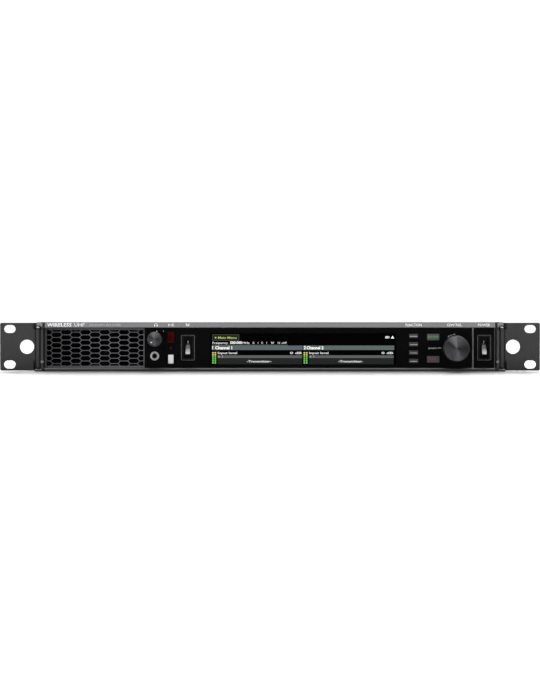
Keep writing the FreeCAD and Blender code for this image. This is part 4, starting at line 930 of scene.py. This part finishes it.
class Layer(Shapes):
    """Screen shapes in one colour, at one level in front of the glass."""

    def __init__(self, level):
        super().__init__()
        self.near = SCREEN_LOW.y - FILM * level
        self.far = SCREEN_LOW.y + SINK

    def box(self, u0, u1, v0, v1):
        self.bar((screen_x(u0), screen_x(u1)), (screen_z(v1), screen_z(v0)), self.near, self.far)

    def frame(self, u0, u1, v0, v1, stroke):
        """The four sides of a rectangle, drawn inside it."""
        self.box(u0, u1, v0, v0 + stroke)
        self.box(u0, u1, v1 - stroke, v1)
        self.box(u0, u0 + stroke, v0 + stroke, v1 - stroke)
        self.box(u1 - stroke, u1, v0 + stroke, v1 - stroke)

    def text(self, words, u, v, height, align="LEFT", width=None, bold=0.0):
        """Words with their baseline v below the screen's top."""
        wide = width * MM if width else None
        self.letters(words, screen_x(u), screen_z(v), height * MM, self.near, self.far, align, wide, bold)


# Layout of the picture, in millimetres from the screen's left and top edges
CHANNEL_SPAN = ((1.3, 82.4), (82.9, 164.1))
MENU_BOX = (1.8, 25.6, 1.1, 6.4)
STATUS_V = 9.35              # baseline of the status line
STATUS_TEXT = 1.7
STATUS_WORDS = (("G", 37.6), ("1", 42.4), ("C", 45.4), ("1", 50.0), ("RF", 54.4), ("10", 60.2), ("mW", 63.8))
HEADER_V = (10.9, 14.9)
TITLE_V = HEADER_V[1] - 0.75
ROW_V = 18.4                 # baseline of each channel's row of words
ROW_TEXT = 1.75
SUBHEADER_V = (19.6, 22.1)
SUBHEADER_TEXT_V = 21.55
PANEL_V = (22.3, 27.7)
PANEL_TEXT_V = 25.9
INNER_LEFT = 5.1             # what is right of a channel's meter starts this far into its span
METER_V = (16.8, 27.6)
METER_COLUMNS = (0.3, 2.4)
METER_WIDTH = 1.35
METER_STEPS = 6
METER_AMBER = 2              # how many of the steps, from the top, are amber
METER_LIT = 0.66             # the lit part of a step's height


def screen():
    """The picture, in layers in front of the glass."""
    headers()
    status_line()
    channel_rows()
    meters()


def headers():
    """A bar across the top of each channel, with its number and name."""
    for i, (u0, u1) in enumerate(CHANNEL_SPAN):
        bar = Layer(1)
        bar.box(u0, u1, *HEADER_V)
        bar.piece("screen_header_%d" % (i + 1), "lit_header_%d" % (i + 1))
    titles = Layer(2)
    for i, (u0, _) in enumerate(CHANNEL_SPAN):
        titles.text(str(i + 1), u0 + 0.4, TITLE_V, 2.7, bold=0.04)
        titles.text("Channel %d" % (i + 1), u0 + 2.9, TITLE_V, 2.5, width=15.2, bold=0.05)
    titles.piece("screen_titles", "lit_white")


def status_line():
    """The menu box, the rule and status words under it, and the signs at the right."""
    menu = Layer(1)
    menu.box(*MENU_BOX)
    menu.piece("screen_menu", "lit_olive")
    edge = Layer(2)
    edge.frame(*MENU_BOX, 0.22)
    edge.piece("screen_menu_edge", "lit_olive_line")
    lime = Layer(2)
    lime.disc((screen_x(4.6), screen_z(3.9)), 0.75 * MM, lime.near, lime.far, 18)
    lime.text("Main Menu", 6.8, 4.75, ROW_TEXT, width=16.6, bold=0.03)
    lime.piece("screen_menu_words", "lit_lime")
    rule = Layer(1)
    rule.box(1.6, 69.0, 10.25, 10.75)
    rule.piece("screen_rule", "lit_olive_line")
    status = Layer(1)
    status.text("Frequency", 2.0, STATUS_V, STATUS_TEXT, width=13.5)
    status.text("500.000", 17.6, STATUS_V, 2.1, width=10.6, bold=0.04)
    status.text("MHz", 28.8, STATUS_V, STATUS_TEXT, width=6.0)
    for words, u in STATUS_WORDS:
        status.text(words, u, STATUS_V, STATUS_TEXT)
    status.frame(156.2, 159.4, 2.6, 4.4, 0.35)
    status.box(156.9, 158.3, 3.2, 3.9)
    status.box(159.5, 159.9, 3.1, 3.9)
    peak = screen_x(162.6)
    foot = screen_z(4.6)
    triangle = [(peak, screen_z(2.1)), (peak - 1.5 * MM, foot), (peak + 1.5 * MM, foot)]
    status.outline(triangle, status.near, status.far)
    status.piece("screen_status", "lit_white")


def channel_rows():
    """Per channel: a row of short words, a grey bar and the panel under it."""
    bars = Layer(1)
    panels = Layer(1)
    words = Layer(2)
    for u0, u1 in CHANNEL_SPAN:
        inner = u0 + INNER_LEFT
        bars.box(inner, u1 - 0.5, *SUBHEADER_V)
        panels.box(inner, u1 - 0.5, *PANEL_V)
        words.text("Input level", inner + 0.2, ROW_V, ROW_TEXT, width=17.2, bold=0.035)
        words.text("0 dB", u1 - 0.8, ROW_V, ROW_TEXT, "RIGHT", width=10.6, bold=0.04)
        words.text("A", inner + 0.5, SUBHEADER_TEXT_V, 1.5)
        words.text("1", inner + 4.2, SUBHEADER_TEXT_V, 1.7, bold=0.01)
        words.text("-Transmitter-", (inner + u1) / 2 - 0.9, PANEL_TEXT_V, ROW_TEXT, "CENTER", 21.8, 0.045)
    bars.piece("screen_bars", "lit_subheader")
    panels.piece("screen_panels", "lit_panel")
    words.piece("screen_words", "lit_grey")


def meters():
    """Two columns of lit steps beside each channel: the top ones amber, the rest green."""
    amber = Layer(1)
    green = Layer(1)
    step = (METER_V[1] - METER_V[0]) / METER_STEPS
    for u0, _ in CHANNEL_SPAN:
        for column in METER_COLUMNS:
            for i in range(METER_STEPS):
                layer = amber if i < METER_AMBER else green
                v = METER_V[0] + i * step
                layer.box(u0 + column, u0 + column + METER_WIDTH, v, v + step * METER_LIT)
    amber.piece("screen_meter_high", "lit_amber")
    green.piece("screen_meter_low", "lit_green")


# ---- Stage ----------------------------------------------------------------------------------------
LENS = 240.0
SENSOR = 36.0
CAMERA_Z = 40 * MM           # just under the top cover, so that only the front is seen
AIM_Z = 19.1 * MM            # the height at the middle of the view
SCALE_PLANE = 1.8 * MM       # where the ears fill the view, behind their foremost point
SWEEP = 6.0                  # how far the floor runs each way
SWEEP_FALL = 0.12            # slope of the part before the object, which falls towards the camera
SWEEP_START = 0.5 * MM       # where that slope starts, in front of the bezel
SUN_POWER = 12.5
SUN_WIDTH = 52               # degrees across: soft enough that the shadow has no edge
SUN_HEIGHT = 58              # degrees up, behind the object


def stage():
    """A studio floor, level under the object and behind it, and falling away in front."""
    edge = front_of("front_bezel") - SWEEP_START
    rows = ((edge - SWEEP, -SWEEP * SWEEP_FALL), (edge, 0.0), (SWEEP, 0.0))
    mesh = bpy.data.meshes.new("studio_floor")
    corners = [(x, y, z) for y, z in rows for x in (-SWEEP, SWEEP)]
    mesh.from_pydata(corners, [], [(0, 1, 3, 2), (2, 3, 5, 4)])
    floor = bpy.data.objects.new("studio_floor", mesh)
    scene.collection.objects.link(floor)
    pale = coated("studio_grey", grey(0.34), grey(0.36), (0.7, 0.8), 40, 0.0001, Specular_IOR_Level=0.0)
    mesh.materials.append(pale.material)
    return floor


def camera():
    """Level with the front, as far off as makes the ears fill the frame's width."""
    low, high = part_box("rack_ear_right")
    plane_y = low.y + SCALE_PLANE
    distance = 2 * high.x * LENS / SENSOR
    data = bpy.data.cameras.new("camera")
    data.lens = LENS
    data.sensor_fit = "HORIZONTAL"
    data.sensor_width = SENSOR
    made = bpy.data.objects.new("camera", data)
    made.location = (0, plane_y - distance, CAMERA_Z)
    made.rotation_euler = (math.radians(90) - math.atan2(CAMERA_Z - AIM_Z, distance), 0, 0)
    scene.collection.objects.link(made)
    scene.camera = made


def area_light(name, place, aim, size, power):
    """A rectangular softbox at a place, turned to face another; size is its width and height."""
    data = bpy.data.lights.new(name, "AREA")
    data.shape = "RECTANGLE"
    data.size = size[0]
    data.size_y = size[1]
    data.energy = power
    made = bpy.data.objects.new(name, data)
    made.location = place
    made.rotation_euler = (Vector(aim) - Vector(place)).to_track_quat("-Z", "Y").to_euler()
    scene.collection.objects.link(made)


def floor_sun(floor):
    """A wide soft source above and behind, for the floor alone: white ground, and a short even shadow.

    The knobs are left out of what shades the floor, so that the shadow stays even along the front.
    """
    data = bpy.data.lights.new("floor_sun", "SUN")
    data.energy = SUN_POWER
    data.angle = math.radians(SUN_WIDTH)
    made = bpy.data.objects.new("floor_sun", data)
    made.rotation_euler = (math.radians(90 - SUN_HEIGHT), 0, math.radians(180))
    scene.collection.objects.link(made)
    floor_only = bpy.data.collections.new("floor_only")
    floor_only.objects.link(floor)
    made.light_linking.receiver_collection = floor_only
    shading = bpy.data.collections.new("floor_shading")
    for node in NODES.values():
        if "knob" not in node.name:
            shading.objects.link(node)
    made.light_linking.blocker_collection = shading


def lights(floor):
    """The floor's own sun, a softbox over the top edge, one behind, and a fill on each side."""
    floor_sun(floor)
    area_light("top_softbox", (0, -0.18, 1.3), (0, -0.15, 0), (1.9, 0.5), 11.5)
    area_light("rear_softbox", (0, 1.4, 0.9), (0, 0.1, 0.02), (1.6, 0.6), 14)
    for side in (-1, 1):
        area_light("fill_%d" % side, (side * 1.5, -1.2, 0.35), (0, -0.1, 0.02), (0.8, 0.6), 10)


def world():
    """White behind the object; for everything but the camera, bright above and dim towards the front."""
    made = bpy.data.worlds.new("studio")
    made.use_nodes = True
    tree = made.node_tree
    scene.world = made
    seen = tree.nodes["Background"]
    seen.inputs["Color"].default_value = (1, 1, 1, 1)
    seen.inputs["Strength"].default_value = 1.05
    rest = tree.nodes.new("ShaderNodeBackground")
    direction = tree.nodes.new("ShaderNodeTexCoord")
    split = tree.nodes.new("ShaderNodeSeparateXYZ")
    tree.links.new(direction.outputs["Generated"], split.inputs[0])

    def ranged(axis, start, stop, low, high):
        """From low to high as the direction's part along an axis goes from start to stop."""
        node = tree.nodes.new("ShaderNodeMapRange")
        for socket, value in (("From Min", start), ("From Max", stop), ("To Min", low), ("To Max", high)):
            node.inputs[socket].default_value = value
        tree.links.new(split.outputs[axis], node.inputs["Value"])
        return node.outputs[0]

    above = ranged("Z", 0.0, 0.8, 0.2, 0.42)
    behind = ranged("Y", -1.0, -0.5, 0.25, 1.0)
    level = tree.nodes.new("ShaderNodeMath")
    level.operation = "MULTIPLY"
    tree.links.new(above, level.inputs[0])
    tree.links.new(behind, level.inputs[1])
    tree.links.new(level.outputs[0], rest.inputs["Strength"])
    path = tree.nodes.new("ShaderNodeLightPath")
    blend = tree.nodes.new("ShaderNodeMixShader")
    tree.links.new(path.outputs["Is Camera Ray"], blend.inputs[0])
    tree.links.new(rest.outputs[0], blend.inputs[1])
    tree.links.new(seen.outputs[0], blend.inputs[2])
    tree.links.new(blend.outputs[0], tree.nodes["World Output"].inputs["Surface"])
    scene.view_settings.view_transform = "Standard"


# ---- Build ----------------------------------------------------------------------------------------
dress_frame()
strip_legends()
fascia_marks()
key_marks()
function_ridges()
sync_borders()
jack_lip()
lever_marks()
lever_rims()
end_details()
rear_legends()
knobs()
screen()
floor = stage()
camera()
lights(floor)
world()
